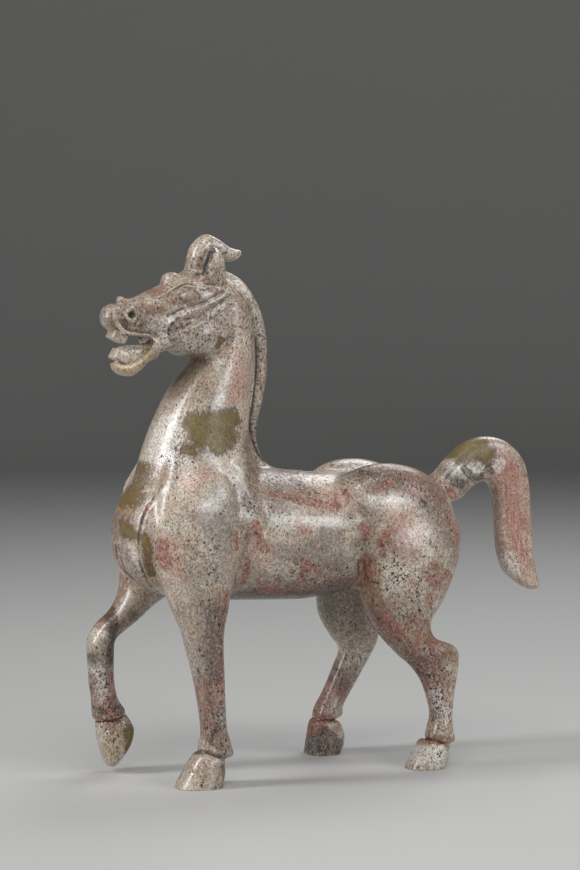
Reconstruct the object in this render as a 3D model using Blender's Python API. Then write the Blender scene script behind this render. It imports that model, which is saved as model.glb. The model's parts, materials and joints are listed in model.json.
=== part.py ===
"""A standing horse carved from one block of calcified jade, its off foreleg raised.

The figure faces -X with its near (left) side towards -Y, and stands on three hooves at z = 0.
The carving is drawn on a grid of GRID parts to the figure's height, as a carver squares up a block,
so it keeps its proportions when the height changes. Every mass is a closed loft through sections.
A section is (x, z) of its upper or front edge, (x, z) of its lower or back edge, its sideways
centre and its half width. The masses are fused into one skin, smoothed, carved with strokes,
thinned to broad facets and set on flat soles.
"""
import math

import bmesh
import bpy
import numpy as np
from mathutils import Euler, Vector

FIGURE_HEIGHT = 0.300
GRID = 300
UNIT = FIGURE_HEIGHT / GRID

JADE_COLOUR = (0.56, 0.50, 0.43, 1)
JADE_ROUGHNESS = 0.38

NEAR = -1
OFF = 1

SKIN_VOXEL = 0.8
SIDES = 32
ROWS_PER_SECTION = 5
FACE_COUNT = 9500
HEAD_CARE = 5
SMOOTHING = 0.5
TRUNK_SMOOTHING = 90
SKIN_SMOOTHING = 3

# How square a section is: 2 is an ellipse and more is boxier.
ROUND = 2.0
TRUNK = 2.1
LEG = 2.2
HOOF = 2.3
JAWBONE = 2.4
ROLL = 2.6
PLATE = 3.5
NECK_LEAN = 0.12
SKULL_LEAN = 0.05

# Where the trunk's smoothing fades in: from the first place to the second.
FACE_BACK = (-50, -40)
FACE_FOOT = (236, 228)
EAR_FOOT = (276, 266)
CREST_SIDE = (4, 8)
CREST_FOOT = (180, 165)
LEG_SHARE = 0.12
LEG_TOP = (60, 105)
TAIL_ROOT = (112, 92)
ANKLE = (24, 36)
HEAD_FOOT = (215, 235)

TORSO = [
    (-103, 143, -103.5, 125, 0, 9),
    (-98.5, 155, -100, 116, 0, 21),
    (-89, 169, -91, 108, 0, 30),
    (-76, 178, -77, 101.5, 0, 35),
    (-57, 180, -57, 98, 0, 37),
    (-36, 174, -36, 97, 0, 36),
    (-12, 170, -12, 96, 0, 35.5),
    (10, 168, 10, 95.5, 0, 35.5),
    (32, 167.3, 32, 97.5, 0, 36),
    (52, 167, 54, 101.5, 0, 37),
    (68, 164, 72, 103, 0, 35),
    (81, 159, 85, 107, 0, 30),
    (91, 154, 93, 117, 0, 21),
    (95, 148, 95, 127, 0, 10),
]
NECK = [
    (-94, 158, -4, 152, 0, 33),
    (-89.5, 175, -17, 164, 0, 30.5),
    (-84, 191, -26, 182, 0, 27),
    (-76.5, 207, -26.5, 202, 0, 24),
    (-68.5, 220, -24.5, 220, 0, 21.5),
    (-59.5, 230, -23, 238, 0, 20),
    (-54, 243, -24.5, 256, 0, 19),
    (-52, 256, -32, 270, 0, 18),
    (-53, 263, -41, 274, 0, 14),
]
MANE = [
    (-42, 281, -46, 272, 0, 4.2),
    (-31, 275.5, -37, 266, 0, 4.2),
    (-23, 266, -31, 259, 0, 4.2),
    (-17.5, 254, -27, 250, 0, 4.2),
    (-15, 240, -25, 240, 0, 4.2),
    (-15, 225, -25, 225, 0, 4.2),
    (-17, 211, -27, 211, 0, 4.2),
    (-20.5, 197, -30, 196, 0, 4.2),
    (-21.5, 187, -31, 181, 0, 4.2),
    (-18.5, 177.5, -26, 169, 0, 4.2),
    (-11, 171, -16, 162, 0, 4.2),
    (2, 167.5, 0, 158, 0, 4),
]
SKULL = [
    (-38, 276, -38, 250, 0, 15),
    (-48, 280.5, -46, 242, 0, 17),
    (-60, 281, -57, 239, 0, 17.5),
    (-69, 277.5, -68, 240, 0, 16),
    (-78, 272.5, -77, 241, 0, 13.5),
    (-86, 269, -86, 243.5, 0, 11.5),
    (-93, 265.8, -94, 245.5, 0, 10.2),
    (-100, 263.3, -101, 247.3, 0, 10),
    (-104.5, 260, -105, 249, 0, 8.5),
    (-107, 257, -107, 251, 0, 5),
]
JAW = [
    (-66, 250, -64, 236, 0, 12),
    (-77, 246, -74, 236.6, 0, 11.5),
    (-84, 241, -81, 235.4, 0, 10.5),
    (-88, 237, -86, 231.5, 0, 9.5),
    (-93, 233, -90, 226.8, 0, 9),
    (-99, 229.5, -96, 222.8, 0, 8.8),
    (-104, 230, -102, 223.4, 0, 7.6),
    (-106.4, 230.2, -105.4, 226, 0, 4.5),
]
TONGUE = [
    (-80, 242, -80, 232, 0, 4.5),
    (-88, 240.5, -88, 230, 0, 4.5),
    (-96, 240.2, -96, 228, 0, 4.5),
    (-102, 239, -102, 228, 0, 4),
    (-104.5, 237, -104.5, 229, 0, 2.5),
]
EAR = [
    (-58.5, 274, -44.5, 272, 13, 4.5),
    (-59, 280, -45, 279, 13.2, 4.8),
    (-57.5, 286, -45.8, 286, 13, 4.5),
    (-55, 290.5, -48, 290.5, 12, 3.6),
    (-52, 293, -50.5, 293, 11, 1.8),
]
FORELOCK = [
    (-64, 275, -46, 274, 0, 8),
    (-62, 285, -48, 284, 0, 7.5),
    (-59.3, 293.5, -49, 288, 0, 7),
    (-52, 300, -47.5, 289, 0, 6.5),
    (-44.5, 297.6, -44, 286.5, 0, 6),
    (-38, 293.4, -38.5, 285, 0, 5.2),
    (-33, 291.8, -34, 285.8, 0, 4.2),
    (-30, 291.4, -30.5, 288, 0, 2),
]
TAIL = [
    (82, 160, 92, 140, 0, 11),
    (91, 163, 100, 146, 0, 9.5),
    (100, 172, 108.5, 149, 0, 8.5),
    (111, 180.5, 114, 154, 0, 8),
    (124, 184, 122, 158, 0, 8),
    (138, 181, 127.5, 156.5, 0, 7.5),
    (149.5, 170, 130.5, 150, 0, 7.5),
    (153.7, 155, 131.5, 142, 0, 7.5),
    (155.2, 138, 132.5, 132, 0, 7.5),
    (156.5, 120, 133.5, 118, 0, 7),
    (158.2, 106, 138, 105, 0, 6.5),
    (161, 97, 149, 96, 0, 5),
    (161.3, 94, 156, 93, 0, 2.5),
]
BUTTOCK = [
    (17, 160, 17, 134, 19, 9),
    (27, 167.5, 26, 120, 20, 14),
    (40, 171.8, 38, 108, 21, 17.5),
    (55, 172, 54, 104, 21.5, 18.5),
    (69, 168.5, 71, 104, 21, 17.5),
    (82, 161, 85, 107, 19.5, 14.5),
    (92, 152, 93, 118, 17, 8),
]
SHOULDER = [
    (-85, 172, -46, 172, 21, 10),
    (-91, 155, -42, 152, 24.5, 15.5),
    (-92, 132, -43, 128, 25.5, 17),
]
NEAR_FORELEG = SHOULDER + [
    (-88, 112, -48, 108, 28, 15.5),
    (-84, 98, -52, 95, 29.5, 13.5),
    (-79, 86, -55, 84, 31, 12),
    (-75.8, 74, -55.5, 73, 31.5, 11),
    (-72, 59, -55, 58, 32, 9.5),
    (-69, 43, -54.5, 43, 32, 8.8),
    (-67.5, 31, -53.5, 31, 32, 8.5),
    (-68.5, 24, -51, 22, 32, 9.5),
    (-69, 20, -49.8, 16.8, 32, 9.8),
    (-68, 18.5, -54, 14.5, 32, 7.5),
]
NEAR_FORE_HOOF = [
    (-67, 19.6, -57, 16.5, 32, 7),
    (-72, 17.5, -55, 13.5, 32, 9.6),
    (-77, 10, -55, 8, 32, 11),
    (-81.5, 2.5, -56, 1.5, 32, 12.2),
    (-83, -3, -56, -3, 32, 12.4),
]
OFF_FORELEG = SHOULDER + [
    (-91, 112, -52, 106, 28, 15),
    (-91.5, 101, -71, 94, 28, 13),
    (-97, 91, -82.5, 84.5, 28, 10.5),
    (-105, 84, -91, 78.5, 28, 9.5),
    (-110.5, 75, -95.5, 74, 28, 9),
    (-110.5, 64, -96, 65, 28, 8.5),
    (-109.8, 52, -96, 53, 28, 8.2),
    (-108.5, 43, -94, 42, 28, 8.5),
    (-108, 35, -90, 36, 28, 9.2),
    (-107, 30.5, -89.5, 33, 28, 9.4),
    (-104.5, 29, -91, 32, 28, 7.5),
]
OFF_FORE_HOOF = [
    (-104.5, 30, -89, 32.5, 28, 7.5),
    (-106, 27.5, -87.5, 30.5, 28, 9.5),
    (-105, 20, -84.5, 24.5, 28, 11),
    (-103, 12, -86, 17.5, 28, 11.2),
    (-100.5, 5, -89.5, 12.5, 28, 9.5),
    (-97.5, 3, -92, 9, 28, 6),
]
HAUNCH = [
    (34, 158, 86, 152, 20, 13),
    (29, 143, 93, 140, 23, 16),
    (27, 127, 94, 124, 25, 17.5),
    (28.5, 110, 89.5, 110, 27, 17),
]
NEAR_HIND_LEG = HAUNCH + [
    (33, 94, 82, 95, 28.5, 15),
    (41, 78, 72.5, 83, 30, 13),
    (52.5, 65, 75, 73.5, 31, 11),
    (60.5, 58, 88, 67.5, 31.5, 10),
    (67, 49, 89.5, 58, 32.5, 9),
    (71, 38, 86.5, 42, 33, 8),
    (73, 29, 85, 29, 33, 7.8),
    (71.5, 22, 85.5, 21, 33, 9),
    (71, 18.5, 86.5, 15, 33, 9.2),
    (71.5, 17, 80.5, 13, 33, 7.5),
]
NEAR_HIND_HOOF = [
    (70, 17.5, 79, 14, 33, 7.5),
    (66, 15.5, 83, 12.5, 33, 9.5),
    (61.5, 8, 83.5, 8, 33, 10.8),
    (58.5, 2, 81, 2, 33, 11.4),
    (56, -3, 78, -3, 33, 10.5),
]
OFF_HIND_LEG = HAUNCH + [
    (31, 96, 82, 97, 28.5, 15),
    (33, 82, 72, 86, 30, 13),
    (40, 70, 69, 78, 31, 11),
    (47, 60, 71, 66, 32, 9.5),
    (43.5, 50, 61, 48, 32, 8.5),
    (37, 36, 51.5, 33, 32, 8),
    (32, 27, 48, 27.5, 32, 9),
    (30.5, 21.5, 47.5, 22.5, 32, 9.2),
    (32, 19.5, 42, 20, 32, 7.5),
]
OFF_HIND_HOOF = [
    (31.5, 21, 41, 20, 32, 7.5),
    (28.5, 18, 46, 17.5, 32, 9.5),
    (26.8, 9, 49, 9, 32, 10.8),
    (25.8, 2, 46.5, 2, 32, 11.4),
    (25.5, -3, 42, -3, 32, 10.5),
]

# Balls: centre and radii.
MUZZLE = ((-106.6, 0, 254.8), (6.4, 9, 7.2))
JOWL = ((-60.5, 9.5, 245.4), (14.4, 10.5, 12.4))
EYE = ((-66.8, 14.6, 265.6), (4.2, 3.8, 3.9))
BROW_KNOB = ((-72.4, 2.5, 275.6), (5, 5, 5))
NOSE_KNOB = ((-101.2, 4.6, 264.2), (2.2, 2, 2))

# Blocks of front teeth: centre and size, tipped nose up.
UPPER_TEETH = ((-103.6, 0, 244.3), (8.2, 12, 5))
LOWER_TEETH = ((-101.6, 0, 234.4), (8.2, 11.5, 5))
TOOTH_TIP = 28
TOOTH_BEVEL = 0.7

# The nostril's rim is a ring, turned from the side towards the front.
NOSTRIL = (-100.2, 10.6, 256.4)
NOSTRIL_RADIUS = 3.1
NOSTRIL_RIM = 1.35
NOSTRIL_TURN = 32
NOSTRIL_BEADS = 20

# Rolls: the route as (x, y, z), then the radius. A roll thins to ROLL_END of it at its ends.
ROLL_END = 0.6
LIP = (
    [
        (-108.4, 8, 259.6),
        (-108.3, 8.6, 254.7),
        (-106.4, 9.2, 250.2),
        (-102.2, 9.8, 246.9),
        (-96, 10.4, 245.6),
        (-90, 10.8, 245),
        (-86.2, 10.8, 243.4),
        (-84.9, 10.6, 240.6),
        (-86.9, 10, 236.9),
        (-89.9, 9.4, 233.6),
        (-93, 9, 230.6),
        (-96.5, 8.6, 228),
        (-100.5, 7.6, 227.2),
        (-103.6, 5.4, 227.8),
        (-105.2, 2.6, 228.4),
        (-105.6, 0, 228.8),
    ],
    1.35,
)
BROW = (
    [
        (-79, 10.4, 267.6),
        (-75, 11.4, 270.4),
        (-69, 12.4, 273.2),
        (-62.8, 13, 273.2),
        (-58.6, 13.8, 270.6),
        (-57, 14.6, 267.6),
    ],
    1.7,
)
UPPER_LID = (
    [(-72.6, 15, 267.4), (-70.6, 15.9, 269.4), (-67.2, 16.4, 270.4), (-63.8, 16.6, 269.4), (-61.2, 16.8, 266)],
    1.1,
)


def arc(centre, radii, start, end, count=9):
    """A route along an oval in side view, from one angle to another in degrees."""
    angles = [math.radians(start + (end - start) * i / (count - 1)) for i in range(count)]
    return [(centre[0] + radii[0] * math.cos(a), centre[1] + radii[1] * math.sin(a)) for a in angles]


# Strokes cut from both sides: the route as (x, z), its reach, and its depth, below 0 where it is raised.
SIDE_STROKES = {
    "groove over the jowl": ([(-79, 247.6), (-68, 251.6), (-60.6, 256), (-51.8, 261.5), (-43, 266.6)], 2.6, 2.0),
    "groove under the eye": ([(-81, 255.4), (-73, 259.2), (-66, 261), (-60.2, 262.8), (-44, 269.8)], 1.9, 1.4),
    "upper cheek band": ([(-79.2, 252), (-71.8, 255.2), (-64.3, 259), (-56.8, 262.6), (-48, 266.2)], 2.4, -0.8),
    "lower cheek band": ([(-68.5, 248.6), (-59.8, 252.9), (-47.9, 260.2), (-43, 262.6)], 1.8, -0.7),
    "jowl outline": (arc((-60.8, 246), (16.2, 13.4), 175, 350), 2.6, 1.3),
    "lower lid": (arc(EYE[0][::2], (5.2, 4.9), 195, 345), 1.5, 0.7),
    "crease behind the nostril": ([(-94.6, 261.4), (-92.9, 257.5), (-93.6, 254), (-96, 251.8)], 1.9, 1.4),
    "front of the shoulder": (
        [(-92, 170), (-96, 158), (-99, 147), (-100.5, 136), (-99, 124), (-95, 112), (-88, 104)], 4, 2.2),
    "back of the shoulder": ([(-44, 166), (-43, 150), (-43.5, 135), (-45.5, 120), (-49, 104)], 8, 1.5),
    "flank": ([(26, 146), (25.5, 134), (25, 120), (26, 106), (31, 94)], 6, 1.6),
    "foot of the mane": (
        [(-38, 271), (-31.6, 263.4), (-26.4, 252.8), (-22.8, 238), (-22.6, 222), (-24.8, 208), (-28, 190),
         (-24.6, 175)], 2.2, 1.3),
}

# Strokes in the round: the route as (x, y, z), reach, depth. Where y isn't 0, both sides have one.
ROUND_STROKES = {
    "chest line": ([(-97, 0, 158), (-102.5, 0, 146), (-104, 0, 133), (-101, 0, 118), (-92, 0, 107), (-80, 0, 102)],
                   4.5, 2.5),
    "rump furrow": ([(14, 0, 167), (32, 0, 167), (52, 0, 167), (70, 0, 163), (82, 0, 159)], 9, 2.2),
    "cleft under the tail": ([(95, 0, 140), (96, 0, 130), (93, 0, 118), (86, 0, 108)], 9, 3.5),
    "hollow of the ear": ([(-59.5, 13.5, 280), (-58, 13.3, 285), (-55.6, 12.8, 289.6)], 2.6, 3.6),
    "nostril": ([(-101.8, 13.2, 256.4), (-99.6, 9.6, 256.4)], 2.3, 2.6),
    "ridge of the ear": ([(-50, 18, 276), (-49.5, 17.6, 282), (-50.5, 15.5, 289)], 2.2, -0.9),
}

# The groove between each pastern and its hoof runs round this section.
CORONET_REACH = 2.4
CORONET_DEPTH = 1.0
CORONETS = [
    (NEAR, (-68, 19, -55.5, 15.5, 32, 7.6)),
    (OFF, (-105, 29.5, -90, 32.2, 28, 7.8)),
    (NEAR, (71, 17.2, 80, 13.5, 33, 7.6)),
    (OFF, (31.5, 20.2, 42, 20, 32, 7.6)),
]


def along_curve(rows):
    """The rows and those between them, on a smooth curve through every value."""
    rows = np.array(rows, float)
    padded = np.vstack([2 * rows[0] - rows[1], rows, 2 * rows[-1] - rows[-2]])
    result = []
    for a, b, c, d in zip(padded, padded[1:], padded[2:], padded[3:]):
        for step in range(ROWS_PER_SECTION):
            t = step / ROWS_PER_SECTION
            bend = 2 * a - 5 * b + 4 * c - d
            twist = 3 * b - a - 3 * c + d
            result.append(b + (c - a) * t / 2 + bend * t**2 / 2 + twist * t**3 / 2)
    return result + [rows[-1]]


def section_point(row, angle, square=LEG, lean=0.0):
    """A point on a section's outline. lean widens the upper half."""
    along = math.copysign(abs(math.cos(angle)) ** (2 / square), math.cos(angle))
    across = math.copysign(abs(math.sin(angle)) ** (2 / square), math.sin(angle))
    upper_x, upper_z, lower_x, lower_z, y, half_width = row
    return Vector((
        (upper_x + lower_x) / 2 + along * (upper_x - lower_x) / 2,
        y + across * half_width * (1 + lean * along),
        (upper_z + lower_z) / 2 + along * (upper_z - lower_z) / 2,
    ))


def add_shape(figure, shape):
    """Moves a finished shape into the figure. Each is made by itself, where operators are quick."""
    mesh = bpy.data.meshes.new("shape")
    shape.to_mesh(mesh)
    shape.free()
    figure.from_mesh(mesh)
    bpy.data.meshes.remove(mesh)


def add_loft(figure, sections, square, side=OFF, lean=0.0):
    """Adds a closed shape through the sections: a sphere whose rings are laid on them."""
    rows = along_curve(sections)
    rings = len(rows) + 1
    shape = bmesh.new()
    bmesh.ops.create_uvsphere(shape, u_segments=SIDES, v_segments=rings, radius=1)
    for vert in shape.verts:
        ring = round(math.acos(max(-1, min(1, vert.co.z))) / math.pi * rings)
        if 0 < ring < rings:
            vert.co = section_point(rows[ring - 1], math.atan2(vert.co.y, vert.co.x), square, lean)
        else:
            row = rows[0 if ring == 0 else -1]
            vert.co = (section_point(row, 0) + section_point(row, math.pi)) / 2
        vert.co.y *= side
    add_shape(figure, shape)


def add_ball(figure, centre, radii, side=OFF):
    shape = bmesh.new()
    bmesh.ops.create_uvsphere(shape, u_segments=SIDES, v_segments=SIDES // 2, radius=1)
    bmesh.ops.scale(shape, vec=radii, verts=shape.verts)
    bmesh.ops.translate(shape, vec=(centre[0], side * centre[1], centre[2]), verts=shape.verts)
    add_shape(figure, shape)


def add_roll(figure, route, radius, side):
    """Adds a round roll: balls set closely along the route, smaller at its ends."""
    points = along_curve(route)
    for i, (x, y, z) in enumerate(points):
        from_end = min(i, len(points) - 1 - i) / ROWS_PER_SECTION
        size = radius * min(1, ROLL_END + (1 - ROLL_END) * from_end)
        add_ball(figure, (x, y, z), (size, size, size), side)


def add_nostril(figure, side):
    x, y, z = NOSTRIL
    for step in range(NOSTRIL_BEADS):
        angle = 2 * math.pi * step / NOSTRIL_BEADS
        spoke = Vector((NOSTRIL_RADIUS * math.cos(angle), 0, NOSTRIL_RADIUS * math.sin(angle)))
        spoke.rotate(Euler((0, 0, math.radians(-NOSTRIL_TURN))))
        add_ball(figure, (x + spoke.x, y + spoke.y, z + spoke.z), (NOSTRIL_RIM,) * 3, side)


def add_trunk(figure):
    add_loft(figure, TORSO, TRUNK)
    add_loft(figure, NECK, ROUND, lean=NECK_LEAN)
    add_loft(figure, MANE, PLATE)
    add_loft(figure, TAIL, ROLL)
    for side in (NEAR, OFF):
        add_loft(figure, BUTTOCK, ROUND, side)


def add_head(figure):
    add_loft(figure, SKULL, LEG, lean=SKULL_LEAN)
    add_loft(figure, JAW, JAWBONE)
    add_loft(figure, TONGUE, ROLL)
    add_loft(figure, FORELOCK, ROLL)
    add_ball(figure, *MUZZLE)
    for side in (NEAR, OFF):
        add_loft(figure, EAR, ROUND, side)
        add_ball(figure, *JOWL, side)
        add_ball(figure, *EYE, side)
        add_ball(figure, *BROW_KNOB, side)
        add_ball(figure, *NOSE_KNOB, side)
        add_roll(figure, *LIP, side)
        add_roll(figure, *BROW, side)
        add_roll(figure, *UPPER_LID, side)
        add_nostril(figure, side)


def add_legs(figure):
    for leg, hoof, side in (
        (NEAR_FORELEG, NEAR_FORE_HOOF, NEAR),
        (OFF_FORELEG, OFF_FORE_HOOF, OFF),
        (NEAR_HIND_LEG, NEAR_HIND_HOOF, NEAR),
        (OFF_HIND_LEG, OFF_HIND_HOOF, OFF),
    ):
        add_loft(figure, leg, LEG, side)
        add_loft(figure, hoof, HOOF, side)


def evaluated(mesh, modifiers, weights=None):
    """The mesh with the modifiers applied, each given as its type and its settings."""
    holder = bpy.data.objects.new("holder", mesh)
    bpy.context.scene.collection.objects.link(holder)
    if weights is not None:
        holder.vertex_groups.clear()
        group = holder.vertex_groups.new(name="weights")
        for index in np.flatnonzero(weights):
            group.add((int(index),), float(weights[index]), "REPLACE")
    for kind, settings in modifiers:
        modifier = holder.modifiers.new(kind, kind)
        for key, value in settings.items():
            setattr(modifier, key, value)
    graph = bpy.context.evaluated_depsgraph_get()
    result = bpy.data.meshes.new_from_object(holder.evaluated_get(graph))
    bpy.data.objects.remove(holder)
    return result


def fused_skin():
    """All the masses as one closed skin of small squares, in grid units."""
    figure = bmesh.new()
    add_trunk(figure)
    add_head(figure)
    add_legs(figure)
    bmesh.ops.recalc_face_normals(figure, faces=figure.faces)
    mesh = bpy.data.meshes.new("masses")
    figure.to_mesh(mesh)
    figure.free()
    return evaluated(mesh, [("REMESH", {"mode": "VOXEL", "voxel_size": SKIN_VOXEL})])


def read_vectors(mesh, attribute, key):
    values = np.empty(len(mesh.vertices) * 3)
    getattr(mesh, attribute).foreach_get(key, values)
    return values.reshape(-1, 3)


def ramp(values, start, end):
    return np.clip((values - start) / (end - start), 0, 1)


def trunk_share(points):
    """How fully each point belongs to the smooth trunk: 0 on the face, mane and hooves, 1 on the barrel."""
    x, y, z = points.T
    face = np.maximum(ramp(x, *FACE_BACK), ramp(z, *FACE_FOOT))
    off_crest = np.maximum(ramp(np.abs(y), *CREST_SIDE), ramp(z, *CREST_FOOT))
    leg = LEG_SHARE + (1 - LEG_SHARE) * ramp(z, *LEG_TOP)
    return face * ramp(z, *EAR_FOOT) * off_crest * leg * ramp(x, *TAIL_ROOT) * ramp(z, *ANKLE)


def smoothed(skin):
    even = {"factor": SMOOTHING, "iterations": SKIN_SMOOTHING}
    trunk = {"factor": SMOOTHING, "iterations": TRUNK_SMOOTHING, "vertex_group": "weights"}
    weights = trunk_share(read_vectors(skin, "vertices", "co"))
    return evaluated(skin, [("SMOOTH", trunk), ("SMOOTH", even)], weights)


def swell(points, route, reach):
    """1 on the route, falling smoothly to 0 at the reach."""
    nearest = np.full(len(points), np.inf)
    for a, b in zip(route[:-1], route[1:]):
        way = np.clip((points - a) @ (b - a) / ((b - a) @ (b - a)), 0, 1)
        nearest = np.minimum(nearest, np.linalg.norm(points - a - way[:, None] * (b - a), axis=1))
    return np.clip(1 - (nearest / reach) ** 2, 0, 1) ** 2


def carve(skin):
    """Cuts every stroke into the skin along its normals."""
    points = read_vectors(skin, "vertices", "co")
    normals = read_vectors(skin, "vertex_normals", "vector")
    facing_aside = np.sqrt(np.abs(normals[:, 1]))
    for route, reach, depth in SIDE_STROKES.values():
        share = swell(points[:, (0, 2)], along_curve(route), reach) * facing_aside
        points = points - normals * (depth * share)[:, None]
    for route, reach, depth in ROUND_STROKES.values():
        curve = np.array(along_curve(route))
        for side in (NEAR, OFF) if curve[0][1] else (OFF,):
            share = swell(points, curve * (1, side, 1), reach)
            points = points - normals * (depth * share)[:, None]
    for side, row in CORONETS:
        angles = [2 * math.pi * step / SIDES for step in range(SIDES + 1)]
        ring = np.array([section_point(row, angle) for angle in angles]) * (1, side, 1)
        points = points - normals * (CORONET_DEPTH * swell(points, ring, CORONET_REACH))[:, None]
    skin.vertices.foreach_set("co", points.ravel())
    skin.update()


def thinned(skin):
    """The skin in broad facets, smaller on the head, where the weights make thinning dearer."""
    head = ramp(read_vectors(skin, "vertices", "co")[:, 2], *HEAD_FOOT)
    thinning = {
        "ratio": FACE_COUNT / (2 * len(skin.polygons)),
        "vertex_group": "weights",
        "vertex_group_factor": HEAD_CARE,
    }
    return evaluated(skin, [("TRIANGULATE", {}), ("DECIMATE", thinning)], 1 - head / 2)


def with_teeth(figure, centre, size):
    """Joins a block of front teeth to the figure."""
    block = bmesh.new()
    bmesh.ops.create_cube(block, size=1)
    bmesh.ops.scale(block, vec=size, verts=block.verts)
    bmesh.ops.bevel(
        block, geom=block.edges, offset=TOOTH_BEVEL, segments=1, affect="EDGES", profile=0.5, material=-1
    )
    tip = Euler((0, math.radians(TOOTH_TIP), 0)).to_matrix()
    bmesh.ops.rotate(block, verts=block.verts, matrix=tip)
    bmesh.ops.translate(block, verts=block.verts, vec=centre)
    mesh = bpy.data.meshes.new("teeth")
    block.to_mesh(mesh)
    block.free()
    teeth = bpy.data.objects.new("teeth", mesh)
    bpy.context.scene.collection.objects.link(teeth)
    joined = evaluated(figure, [("BOOLEAN", {"operation": "UNION", "object": teeth})])
    bpy.data.objects.remove(teeth)
    return joined


def set_on_soles(mesh):
    """Cuts the standing hooves off flat at z = 0, centres the figure and brings it to its real size."""
    figure = bmesh.new()
    figure.from_mesh(mesh)
    everything = figure.verts[:] + figure.edges[:] + figure.faces[:]
    bmesh.ops.bisect_plane(figure, geom=everything, plane_co=(0, 0, 0), plane_no=(0, 0, 1), clear_inner=True)
    rims = [edge for edge in figure.edges if edge.is_boundary]
    bmesh.ops.holes_fill(figure, edges=rims, sides=0)
    bmesh.ops.triangulate(figure, faces=figure.faces)
    xs = [vert.co.x for vert in figure.verts]
    ys = [vert.co.y for vert in figure.verts]
    middle = Vector((-(min(xs) + max(xs)) / 2, -(min(ys) + max(ys)) / 2, 0))
    bmesh.ops.translate(figure, vec=middle, verts=figure.verts)
    bmesh.ops.scale(figure, vec=(UNIT, UNIT, UNIT), verts=figure.verts)
    figure.to_mesh(mesh)
    figure.free()


def jade():
    material = bpy.data.materials.new("calcified jade")
    material.use_nodes = True
    shader = material.node_tree.nodes["Principled BSDF"]
    shader.inputs["Base Color"].default_value = JADE_COLOUR
    shader.inputs["Roughness"].default_value = JADE_ROUGHNESS
    shader.inputs["Metallic"].default_value = 0
    return material


def build():
    for old in list(bpy.data.objects):
        bpy.data.objects.remove(old)
    skin = smoothed(fused_skin())
    carve(skin)
    figure = thinned(skin)
    for teeth in (UPPER_TEETH, LOWER_TEETH):
        figure = with_teeth(figure, *teeth)
    set_on_soles(figure)
    figure.shade_smooth()
    horse = bpy.data.objects.new("horse", figure)
    horse.data.materials.append(jade())
    bpy.context.scene.collection.objects.link(horse)


build()
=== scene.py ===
# A horse carved from one block of calcified jade: its fine surface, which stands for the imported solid,
# the stone and the studio.
import json
import math

import bmesh
import bpy
import numpy as np
from mathutils import Euler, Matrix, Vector

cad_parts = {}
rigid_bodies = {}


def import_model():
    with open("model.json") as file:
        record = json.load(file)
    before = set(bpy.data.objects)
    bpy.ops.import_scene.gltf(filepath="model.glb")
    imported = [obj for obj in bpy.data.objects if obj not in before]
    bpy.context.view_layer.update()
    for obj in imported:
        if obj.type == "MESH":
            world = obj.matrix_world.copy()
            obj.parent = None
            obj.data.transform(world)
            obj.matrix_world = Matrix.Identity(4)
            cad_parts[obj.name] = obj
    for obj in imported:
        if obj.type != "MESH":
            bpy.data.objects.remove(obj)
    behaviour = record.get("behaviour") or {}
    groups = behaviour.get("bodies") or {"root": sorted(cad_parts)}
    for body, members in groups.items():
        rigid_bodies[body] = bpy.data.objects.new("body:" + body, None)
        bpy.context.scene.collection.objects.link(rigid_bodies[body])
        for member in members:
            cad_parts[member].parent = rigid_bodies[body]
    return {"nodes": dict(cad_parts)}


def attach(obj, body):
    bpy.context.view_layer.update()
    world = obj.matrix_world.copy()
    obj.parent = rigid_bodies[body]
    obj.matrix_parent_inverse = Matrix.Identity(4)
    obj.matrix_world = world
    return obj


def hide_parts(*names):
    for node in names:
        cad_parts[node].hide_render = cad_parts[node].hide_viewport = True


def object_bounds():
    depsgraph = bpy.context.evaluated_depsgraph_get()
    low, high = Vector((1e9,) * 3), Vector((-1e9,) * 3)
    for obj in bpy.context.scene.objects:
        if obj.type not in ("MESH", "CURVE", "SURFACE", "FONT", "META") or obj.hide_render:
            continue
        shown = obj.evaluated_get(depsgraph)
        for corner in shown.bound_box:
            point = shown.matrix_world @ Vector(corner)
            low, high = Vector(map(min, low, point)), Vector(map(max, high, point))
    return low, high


for leftOver in list(bpy.data.objects):  # the start-up file's cube, lamp and camera
    bpy.data.objects.remove(leftOver)
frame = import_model()
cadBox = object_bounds()
print("frame: loaded", sorted(frame["nodes"]))

near, off, both = -1, 1, 0  # the side that the camera sees, the other, and the two together

# Forms are drawn in steps of 1/300 of the height. A row of a form is the x and z of its upper or
# front edge, the x and z of its lower or back edge, its centre aside and its half width.
drawing = {"step": 0.001, "shift": (-24.143, 0.167, 0), "sides": 40, "rowsPerSection": 6}

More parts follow.
